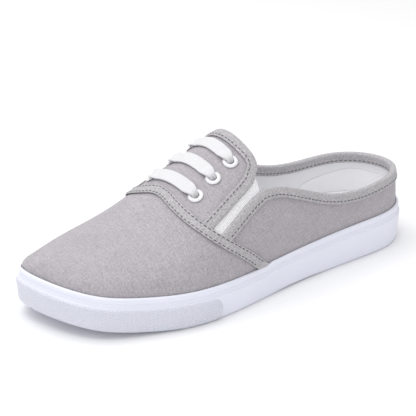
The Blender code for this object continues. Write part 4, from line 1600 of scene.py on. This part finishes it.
@dataclass
class Tapes(SubAssembly):
    """The tape over the seam, the folded bindings and their stitching."""

    width: float = 6.6 * MM
    binding_width: float = 5.6 * MM
    thickness: float = 0.8 * MM
    wall: float = 1.8 * MM
    stitch_pitch: float = 3.1 * MM
    stitch_length: float = 2.3 * MM
    stitch_radius: float = 0.32 * MM
    tuck: float = 2.2 * MM
    run_on: int = 4
    lowest_rise: float = -0.25
    stitch_start: float = 0.03
    run_down: int = 9
    tape_lift: float = 0.25 * MM
    collar_end: float = 0.36
    saddle_end: float = 0.50
    seam_share: float = 0.72
    stitch_share: float = 0.33
    stitch_margin: float = 1.5 * MM
    fold_steps: int = 6
    # share of the flap's width from the fold; how far it puffs up there
    flap_puffs: tuple = (
        (1.0, 0.0),
        (0.94, 0.12 * MM),
        (0.72, -0.03 * MM),
        (0.45, 0.06 * MM),
        (0.2, 0.04 * MM),
    )
    # share of the seam tape's width from its middle; how far it puffs up there
    tape_puffs: tuple = (
        (-0.5, 0.0),
        (-0.42, 0.12 * MM),
        (-0.25, -0.04 * MM),
        (0.0, 0.10 * MM),
        (0.25, -0.04 * MM),
        (0.42, 0.12 * MM),
        (0.5, 0.0),
    )

    @property
    def middle(self) -> float:
        """Height of the tape's middle above the canvas."""
        return self.last.clearance + self.thickness / 2

    def tape_rows(self, shares: Sequence[float]) -> Array:
        """(turn, rise) rows along the seam tape at shares of its width, the first at its back.

        Args:
            shares: shares of the tape's width, from its middle.

        Returns:
            Places as (along, across, 2).
        """
        last = self.last
        path = last.seam(50)
        along = np.gradient(last.at(path), axis=0)
        sideways = np.cross(last.normal(path[:, 0], path[:, 1]), along)
        sideways *= np.sign(sideways[:, :1])
        grid = np.stack([last.walk(path, sideways, share * self.width) for share in shares], 1)
        grid = grid[path[:, 1] > self.stitch_start]
        steps = np.arange(self.run_down, 0, -1)[:, None, None]
        start, end = grid[0] + (grid[0] - grid[1]) * steps, grid[-1] + (grid[-1] - grid[-2]) * steps[::-1]
        grid = np.concatenate([start, grid, end])
        grid[..., 1] = np.maximum(grid[..., 1], self.lowest_rise)
        return grid

    def seam_tape(self, finish: bpy.types.Material) -> None:
        """The strip over the vamp's seam.

        Args:
            finish: the piece's material.
        """
        shares, puffs = columns_of(self.tape_puffs)
        points = self.last.raised(self.tape_rows(shares), self.middle + self.tape_lift + puffs)
        flat = flat_of(run_of(points[:, len(shares) // 2]), shares * self.width)
        piece = Bench.sheet("seam_tape_strip", points, flat)
        Bench.merge(piece)
        Bench.thicken(piece, self.thickness)
        Bench.soften(piece)
        self.keep(piece, finish, "grey_tape", ["seam_tape"], 60)

    def binding(
        self, name: str, node: str, path: Array, hints: Array, end_rise: float, finish: bpy.types.Material
    ) -> tuple[Array, Array]:
        """A tape folded over an edge.

        Args:
            name: the piece's name.
            node: the CAD node that it stands for.
            path: (turn, rise) along the edge.
            hints: for each place, a rough direction from the edge into the cloth.
            end_rise: the rise at which it meets the seam tape.
            finish: the tape's material.

        Returns:
            The stitching's paths on the outer and on the inner flap.
        """
        last = self.last
        edges, normal = last.at(path), last.normal(path[:, 0], path[:, 1])
        inward = np.cross(normal, unit(np.gradient(edges, axis=0)))
        inward *= np.sign((inward * hints).sum(-1, keepdims=True))
        outer, under, reach = self.middle, -self.wall - self.middle, self.middle
        rows = []
        for share, puff in self.flap_puffs:
            rows.append(last.raised(last.walk(path, inward, self.binding_width * share), outer + puff))
        seam_place = last.walk(path, inward, self.binding_width * self.seam_share)
        centre, half = (outer + under) / 2, (outer - under) / 2
        for step in range(self.fold_steps + 1):
            angle = math.pi * step / self.fold_steps
            rows.append(edges - inward * reach * math.sin(angle) + normal * (centre + half * math.cos(angle)))
        for share, _ in reversed(self.flap_puffs):
            rows.append(last.raised(last.walk(path, inward, self.binding_width * share), under))
        points = np.stack(rows, 1)
        across = np.mean([run_of(row) for row in points[:: max(len(points) // 8, 1)]], axis=0)
        piece = Bench.sheet(name, points, flat_of(run_of(points[:, len(self.flap_puffs)]), across))
        Bench.merge(piece)
        Bench.thicken(piece, self.thickness)
        self.trim_at_seam(piece, end_rise)
        self.keep(piece, finish, "grey_tape", [node], 60)
        outside = last.raised(seam_place, outer + self.thickness / 2)
        return outside, last.raised(seam_place, under - self.thickness / 2)

    def seam_planes(self, rise: float) -> list[tuple[Array, Array]]:
        """A point and a backward direction on the tape's rear edge at a rise, on both sides.

        Args:
            rise: the rise at which the tape is met.

        Returns:
            A point and a direction for each side.
        """
        last = self.last
        planes = []
        for side in Side:
            slot = np.array([float(last.turn_of(last.gore_end)), rise])
            if side is Side.INNER:
                slot = last.across(slot)
            path = last.seam(50)
            points = last.at(path)
            nearest = int(np.argmin(np.linalg.norm(points - last.at(slot), axis=1)))
            run = unit(points[nearest + 1] - points[nearest - 1])
            normal = last.normal(*path[nearest])
            sideways = unit(np.cross(normal, run))
            sideways *= -np.sign(sideways[0])
            planes.append((points[nearest] + sideways * (self.width / 2 - self.tuck), sideways))
        return planes

    def trim_at_seam(self, piece: bpy.types.Object, rise: float) -> None:
        """Ends a binding just under the seam tape on both sides."""
        for place, backward in self.seam_planes(rise):
            Bench.trim(piece, place, backward)

    def row(self, name: str, path: Array, thread: bpy.types.Material) -> None:
        """A row of stitches along a path."""
        piece = Bench.stitches(name, path, self.stitch_pitch, self.stitch_length, self.stitch_radius)
        self.keep(piece, thread, "grey_tape", (), 180)

    def behind_seam(self, path: Array, rise: float) -> Array:
        """The part of a path that lies behind the seam tape.

        Args:
            path: the path's points.
            rise: the rise at which the seam tape is met.

        Returns:
            The points that stay.
        """
        keep = np.ones(len(path), bool)
        for place, backward in self.seam_planes(rise):
            keep &= (path - place) @ backward > self.stitch_margin
        return path[keep]

    def build(self, tape: bpy.types.Material, thread: bpy.types.Material) -> None:
        """Makes every tape and its stitching.

        Args:
            tape: the tape's material.
            thread: the thread's material.
        """
        last = self.last
        self.seam_tape(tape)
        height = self.middle + self.tape_lift + self.thickness / 2
        for name, way in (("seam_stitches_front", 1), ("seam_stitches_rear", -1)):
            places = self.tape_rows((way * self.stitch_share,))[:, 0]
            self.row(name, last.raised(places, height)[places[:, 1] > self.stitch_start], thread)
        end = float(last.turn_of(last.gore_end))
        turns = np.linspace(end, -end, 170)
        collar = np.stack([turns, last.topline_rise(last.station_of(turns))], -1)
        down = np.tile([0, 0, -1.0], (len(collar), 1))
        lines = self.binding("collar_binding_tape", "collar_binding", collar, down, self.collar_end, tape)
        for name, line in zip(("collar_stitches", "collar_inside_stitches"), lines):
            self.row(name, self.behind_seam(line, self.collar_end), thread)
        half = last.drawn(last.saddle_table, 55)
        ahead = half[0] + (half[0] - half[1]) * np.arange(self.run_on, 0, -1)[:, None]
        saddle = last.mirrored(np.concatenate([ahead, half]))
        hints = last.point(float(last.turn_of(0.60)), 1.0) - last.at(saddle)
        lines = self.binding("saddle_binding_tape", "saddle_binding", saddle, hints, self.saddle_end, tape)
        for name, line in zip(("saddle_stitches", "saddle_inside_stitches"), lines):
            self.row(name, self.behind_seam(line, self.saddle_end), thread)


@dataclass
class Gores(SubAssembly):
    """Ribbed elastic between saddle and quarter on each side."""

    thickness: float = 1.0 * MM
    depth: float = 1.0 * MM
    columns: int = 40
    rows: int = 9
    # shares of the slot's width at the elastic's edges
    edges: tuple[float, float] = (0.03, 0.97)
    corner_gap: float = 0.7

    def build(self, finish: bpy.types.Material) -> None:
        """Makes both gores.

        Args:
            finish: the piece's material.
        """
        last = self.last
        top = last.drawn(last.saddle_table, self.columns, 0, last.saddle_corner - self.corner_gap)
        low = np.stack([top[:, 0], last.topline_rise(last.station_of(top[:, 0]))], -1)
        for side in Side:
            first, second = (low, top) if side is Side.OUTER else (last.across(low), last.across(top))
            share = np.linspace(*self.edges, self.rows)[None, :, None]
            points = last.raised((1 - share) * first[:, None] + share * second[:, None], -self.depth)
            width = np.linalg.norm(points[:, -1] - points[:, 0], axis=1)
            flat = flat_of(run_of(points[:, self.rows // 2]), width[:, None] * share[..., 0])
            name = f"gore_{side.name.lower()}"
            piece = Bench.sheet(name + "_elastic", points, flat)
            Bench.merge(piece)
            Bench.thicken(piece, self.thickness)
            self.keep(piece, finish, "white_elastic", [name], 60)


@dataclass
class Lacing(SubAssembly):
    """Six eyelets and the three lace bars between them."""

    hole: float = 2.3 * MM
    flange: float = 4.6 * MM
    flange_height: float = 1.0 * MM
    lace_width: float = 8.2 * MM
    lace_thickness: float = 1.3 * MM
    wall: float = 1.8 * MM
    barrel_wall: float = 0.4 * MM
    barrel_end: float = 0.3 * MM
    landing: float = 1.9
    ridge_steps: int = 6
    end_share: float = 0.92
    lace_crown: float = 0.25 * MM
    lace_roll: float = 0.55
    lace_columns: int = 90
    lace_shares: tuple = (-1.0, -0.93, -0.7, -0.4, 0.0, 0.4, 0.7, 0.93, 1.0)
    # inside an eyelet: distance inwards; height; share of the lift over the flange; how far the edges roll
    dive_table: tuple = (
        (0.10 * MM, -3.4 * MM, 0, 0.9),
        (0.10 * MM, -1.2 * MM, 0, 0.9),
        (0.25 * MM, 0.1 * MM, 0, 0.9),
        (0.80 * MM, -0.5 * MM, 1, 0.8),
    )
    # share of the flange's reach; lift over the flange; share of the width; how far the edges roll
    spread_tables: dict = field(
        default_factory=lambda: {
            Side.OUTER: (
                (0.42, 0.15 * MM, 0.66, 0.6),
                (0.75, 0.05 * MM, 0.80, 0.35),
                (1.15, -0.1 * MM, 0.93, 0.15),
            ),
            Side.INNER: (
                (0.42, 0.1 * MM, 0.90, 0.5),
                (0.75, 0.0, 1.0, 0.3),
                (1.15, -0.1 * MM, 1.0, 0.15),
            ),
        }
    )

    def eyelet(self, name: str, node: str, turn: float, rise: float, finish: bpy.types.Material) -> None:
        """A rolled ring with a barrel through the saddle.

        Args:
            name: the piece's name.
            node: the CAD node that it stands for.
            turn: its turn.
            rise: its rise.
            finish: the piece's material.
        """
        hole, flange, seat = self.hole, self.flange, self.last.clearance
        barrel, end = hole + self.barrel_wall, -self.wall - self.barrel_end
        top = seat + self.flange_height
        profile = (
            (hole, end),
            (hole, seat + 0.45 * self.flange_height),
            (hole + 0.25 * MM, top - 0.25 * MM),
            (hole + 0.8 * MM, top),
            (flange - 0.9 * MM, top - 0.12 * MM),
            (flange - 0.25 * MM, seat + 0.6 * self.flange_height),
            (flange, seat + 0.2 * self.flange_height),
            (flange - 0.1 * MM, seat),
            (barrel, seat),
            (barrel, end),
        )
        piece = Bench.turned_ring(name, profile, 40)
        point, normal, forward, across = self.last.frame_at(turn, rise)
        placed = Matrix([[forward[k], across[k], normal[k], point[k]] for k in range(3)] + [[0, 0, 0, 1]])
        piece.data.transform(placed)
        self.keep(piece, finish, "white_enamel", [node], 50)

    def lace_stops(self, turn: float, rise: float, side: Side) -> list[tuple[Array, Array, float, float]]:
        """Stops of a lace from inside an eyelet up to the ridge: middle, forward, width, cup.

        Args:
            turn: the eyelet's turn.
            rise: the eyelet's rise.
            side: the side of the shoe.

        Returns:
            The middle, way forward, width and roll of each stop.
        """
        last = self.last
        over_flange = 2 * last.clearance + self.flange_height
        half = self.lace_thickness / 2
        end_width = 2 * (self.hole - last.clearance) * self.end_share
        centre, normal, forward, across = last.frame_at(turn, rise)
        inward = -across * side.value
        stops = []
        for way, height, share, cup in self.dive_table:
            middle = centre + inward * way + normal * (half + height + over_flange * share)
            stops.append((middle, forward, end_width, cup))
        reach = self.flange / np.linalg.norm(last.slopes(turn, rise)[1])
        places = [
            (rise + reach * share, over_flange + lift, width, cup)
            for share, lift, width, cup in self.spread_tables[side]
        ]
        for place in np.linspace(rise + self.landing * reach, 1, self.ridge_steps + 1):
            places.append((place, 2 * last.clearance, 1.0, 0.05))
        for place, height, width, cup in places:
            point, normal, forward, _ = last.frame_at(turn, place)
            stops.append((point + normal * (height + half), forward, self.lace_width * width, cup))
        return stops

    def lace(self, k: int, finish: bpy.types.Material) -> None:
        """One flat lace bar, its edges rolled in where it dives into the eyelets.

        Args:
            k: the lace's number from the front, from 0.
            finish: the piece's material.
        """
        eyelets = self.last.eyelets()
        (_, turn, rise), (_, inner_turn, inner_rise) = eyelets[2 * k], eyelets[2 * k + 1]
        stops = self.lace_stops(turn, rise, Side.OUTER)
        stops += self.lace_stops(inner_turn, inner_rise, Side.INNER)[-2::-1]
        centres, ways, widths, cups = (np.array(column) for column in zip(*stops))
        knots = run_of(centres)
        fine = np.linspace(0, knots[-1], self.lace_columns)
        middles = np.stack([Curve(knots, centres[:, axis])(fine) for axis in range(3)], -1)
        forwards = unit(np.stack([np.interp(fine, knots, ways[:, axis]) for axis in range(3)], -1))
        widths, cups = np.interp(fine, knots, widths)[:, None], np.interp(fine, knots, cups)[:, None]
        ups = unit(np.cross(forwards, np.gradient(middles, axis=0)))
        shares = np.array(self.lace_shares) / 2
        dome = self.lace_crown * (1 - (2 * shares) ** 2) - cups * widths * self.lace_roll * shares**2
        points = middles[:, None] + forwards[:, None] * (widths * shares)[..., None]
        points = points + ups[:, None] * dome[..., None]
        piece = Bench.sheet(f"lace_bar_{k + 1}", points, flat_of(fine, shares * self.lace_width))
        Bench.merge(piece)
        Bench.thicken(piece, self.lace_thickness * 0.8)
        Bench.soften(piece)
        self.keep(piece, finish, "white_cotton", [f"lace_{k + 1}"], 60)

    def build(self, enamel: bpy.types.Material, cotton: bpy.types.Material) -> None:
        """Makes the eyelets and the laces.

        Args:
            enamel: the eyelets' material.
            cotton: the laces' material.
        """
        for number, (side, turn, rise) in enumerate(self.last.eyelets()):
            node = f"eyelet_{side.name.lower()}_{number // 2 + 1}"
            self.eyelet(node + "_ring", node, turn, rise, enamel)
        for k in range(len(self.last.eyelet_table)):
            self.lace(k, cotton)


@dataclass
class Studio:
    """Pale floor, soft lights and the camera at the photograph's angle."""

    azimuth: float = 37.094
    elevation: float = 21.211
    distance: float = 878.782 * MM
    lens: float = 1436.344 / 416 * 36
    slide: tuple[float, float] = (-11.614 * MM, 15.011 * MM)
    roll: float = -0.263
    aim: tuple[float, float, float] = (-0.56 * MM, -0.58 * MM, 25 * MM)
    floor_height: float = -0.1 * MM
    sky: float = 0.6
    # name; place; size; power
    lamps: tuple = (("top", (0.25, -0.35, 1.5), 1.7, 20), ("front", (0.9, 1.1, 0.7), 1.2, 3.6))

    def floor(self) -> None:
        """A wide white floor."""
        Bench.clear()
        bpy.ops.mesh.primitive_plane_add(size=8, location=(0, 0, self.floor_height))
        floor = Bench.started("floor")
        wiring = Wiring("floor_white", 0.6)
        grain = wiring.noise(wiring.place(), 0.002, 2.0)
        wiring.colour(wiring.mix(grain, (0.93, 0.93, 0.94), (0.95, 0.95, 0.955)))
        floor.data.materials.append(wiring.material)

    def light(self, name: str, place: tuple, size: float, power: float) -> None:
        """A square soft light aimed at the shoe.

        Args:
            name: the lamp's name.
            place: where it stands.
            size: the lamp's width.
            power: the lamp's power in watts.
        """
        lamp = bpy.data.lights.new(name, "AREA")
        lamp.size, lamp.energy = size, power
        holder = bpy.data.objects.new(name, lamp)
        holder.location = place
        away = Vector(place) - Vector((0, 0, 0.04))
        holder.rotation_euler = away.to_track_quat("Z", "Y").to_euler()
        bpy.context.scene.collection.objects.link(holder)

    def camera(self) -> None:
        """The camera that matches the photograph."""
        a, e, roll = (math.radians(angle) for angle in (self.azimuth, self.elevation, self.roll))
        back = Vector((math.sin(a) * math.cos(e), math.cos(a) * math.cos(e), math.sin(e)))
        right = Vector((-math.cos(a), math.sin(a), 0))
        up = back.cross(right)
        place = Vector(self.aim) + right * self.slide[0] + up * self.slide[1] + back * self.distance
        turned_right = right * math.cos(roll) - up * math.sin(roll)
        turned_up = right * math.sin(roll) + up * math.cos(roll)
        eye = bpy.data.cameras.new("camera")
        eye.lens, eye.sensor_width, eye.clip_start = self.lens, 36, 0.01
        holder = bpy.data.objects.new("camera", eye)
        axes = (turned_right, turned_up, back, place)
        holder.matrix_world = Matrix([[axis[row] for axis in axes] for row in range(3)] + [[0, 0, 0, 1]])
        bpy.context.scene.collection.objects.link(holder)
        bpy.context.scene.camera = holder

    def build(self) -> None:
        """Sets the whole studio."""
        self.floor()
        for lamp in self.lamps:
            self.light(*lamp)
        world = bpy.data.worlds.new("studio")
        world.use_nodes = True
        sky = world.node_tree.nodes["Background"]
        sky.inputs["Color"].default_value = (1, 1, 1, 1)
        sky.inputs["Strength"].default_value = self.sky
        bpy.context.scene.world = world
        bpy.context.scene.view_settings.view_transform = "Standard"
        self.camera()


def main() -> None:
    """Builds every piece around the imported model."""
    logging.basicConfig(level=logging.INFO, format="%(name)s: %(message)s")
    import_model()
    last = Last()
    rubber, knurled = Rubber().material(), Rubber("knurled_rubber", knurl_pitch=1.5).material()
    canvas, tape, thread = Canvas().material(), Tape().material(), Thread().material()
    elastic, cotton, enamel = Elastic().material(), Cotton().material(), Enamel().material()
    lining = Lining().material()
    footbed = Lining("white_footbed", (0.95, 0.95, 0.97), 0.6).material()
    sole = CupSole(last)
    sole.cup(rubber)
    sole.bumper(knurled)
    sole.footbed(footbed)
    Upper(last).build(canvas, lining, footbed)
    Tapes(last).build(tape, thread)
    Gores(last).build(elastic)
    Lacing(last).build(enamel, cotton)
    Studio().build()


if __name__ == "__main__":
    main()
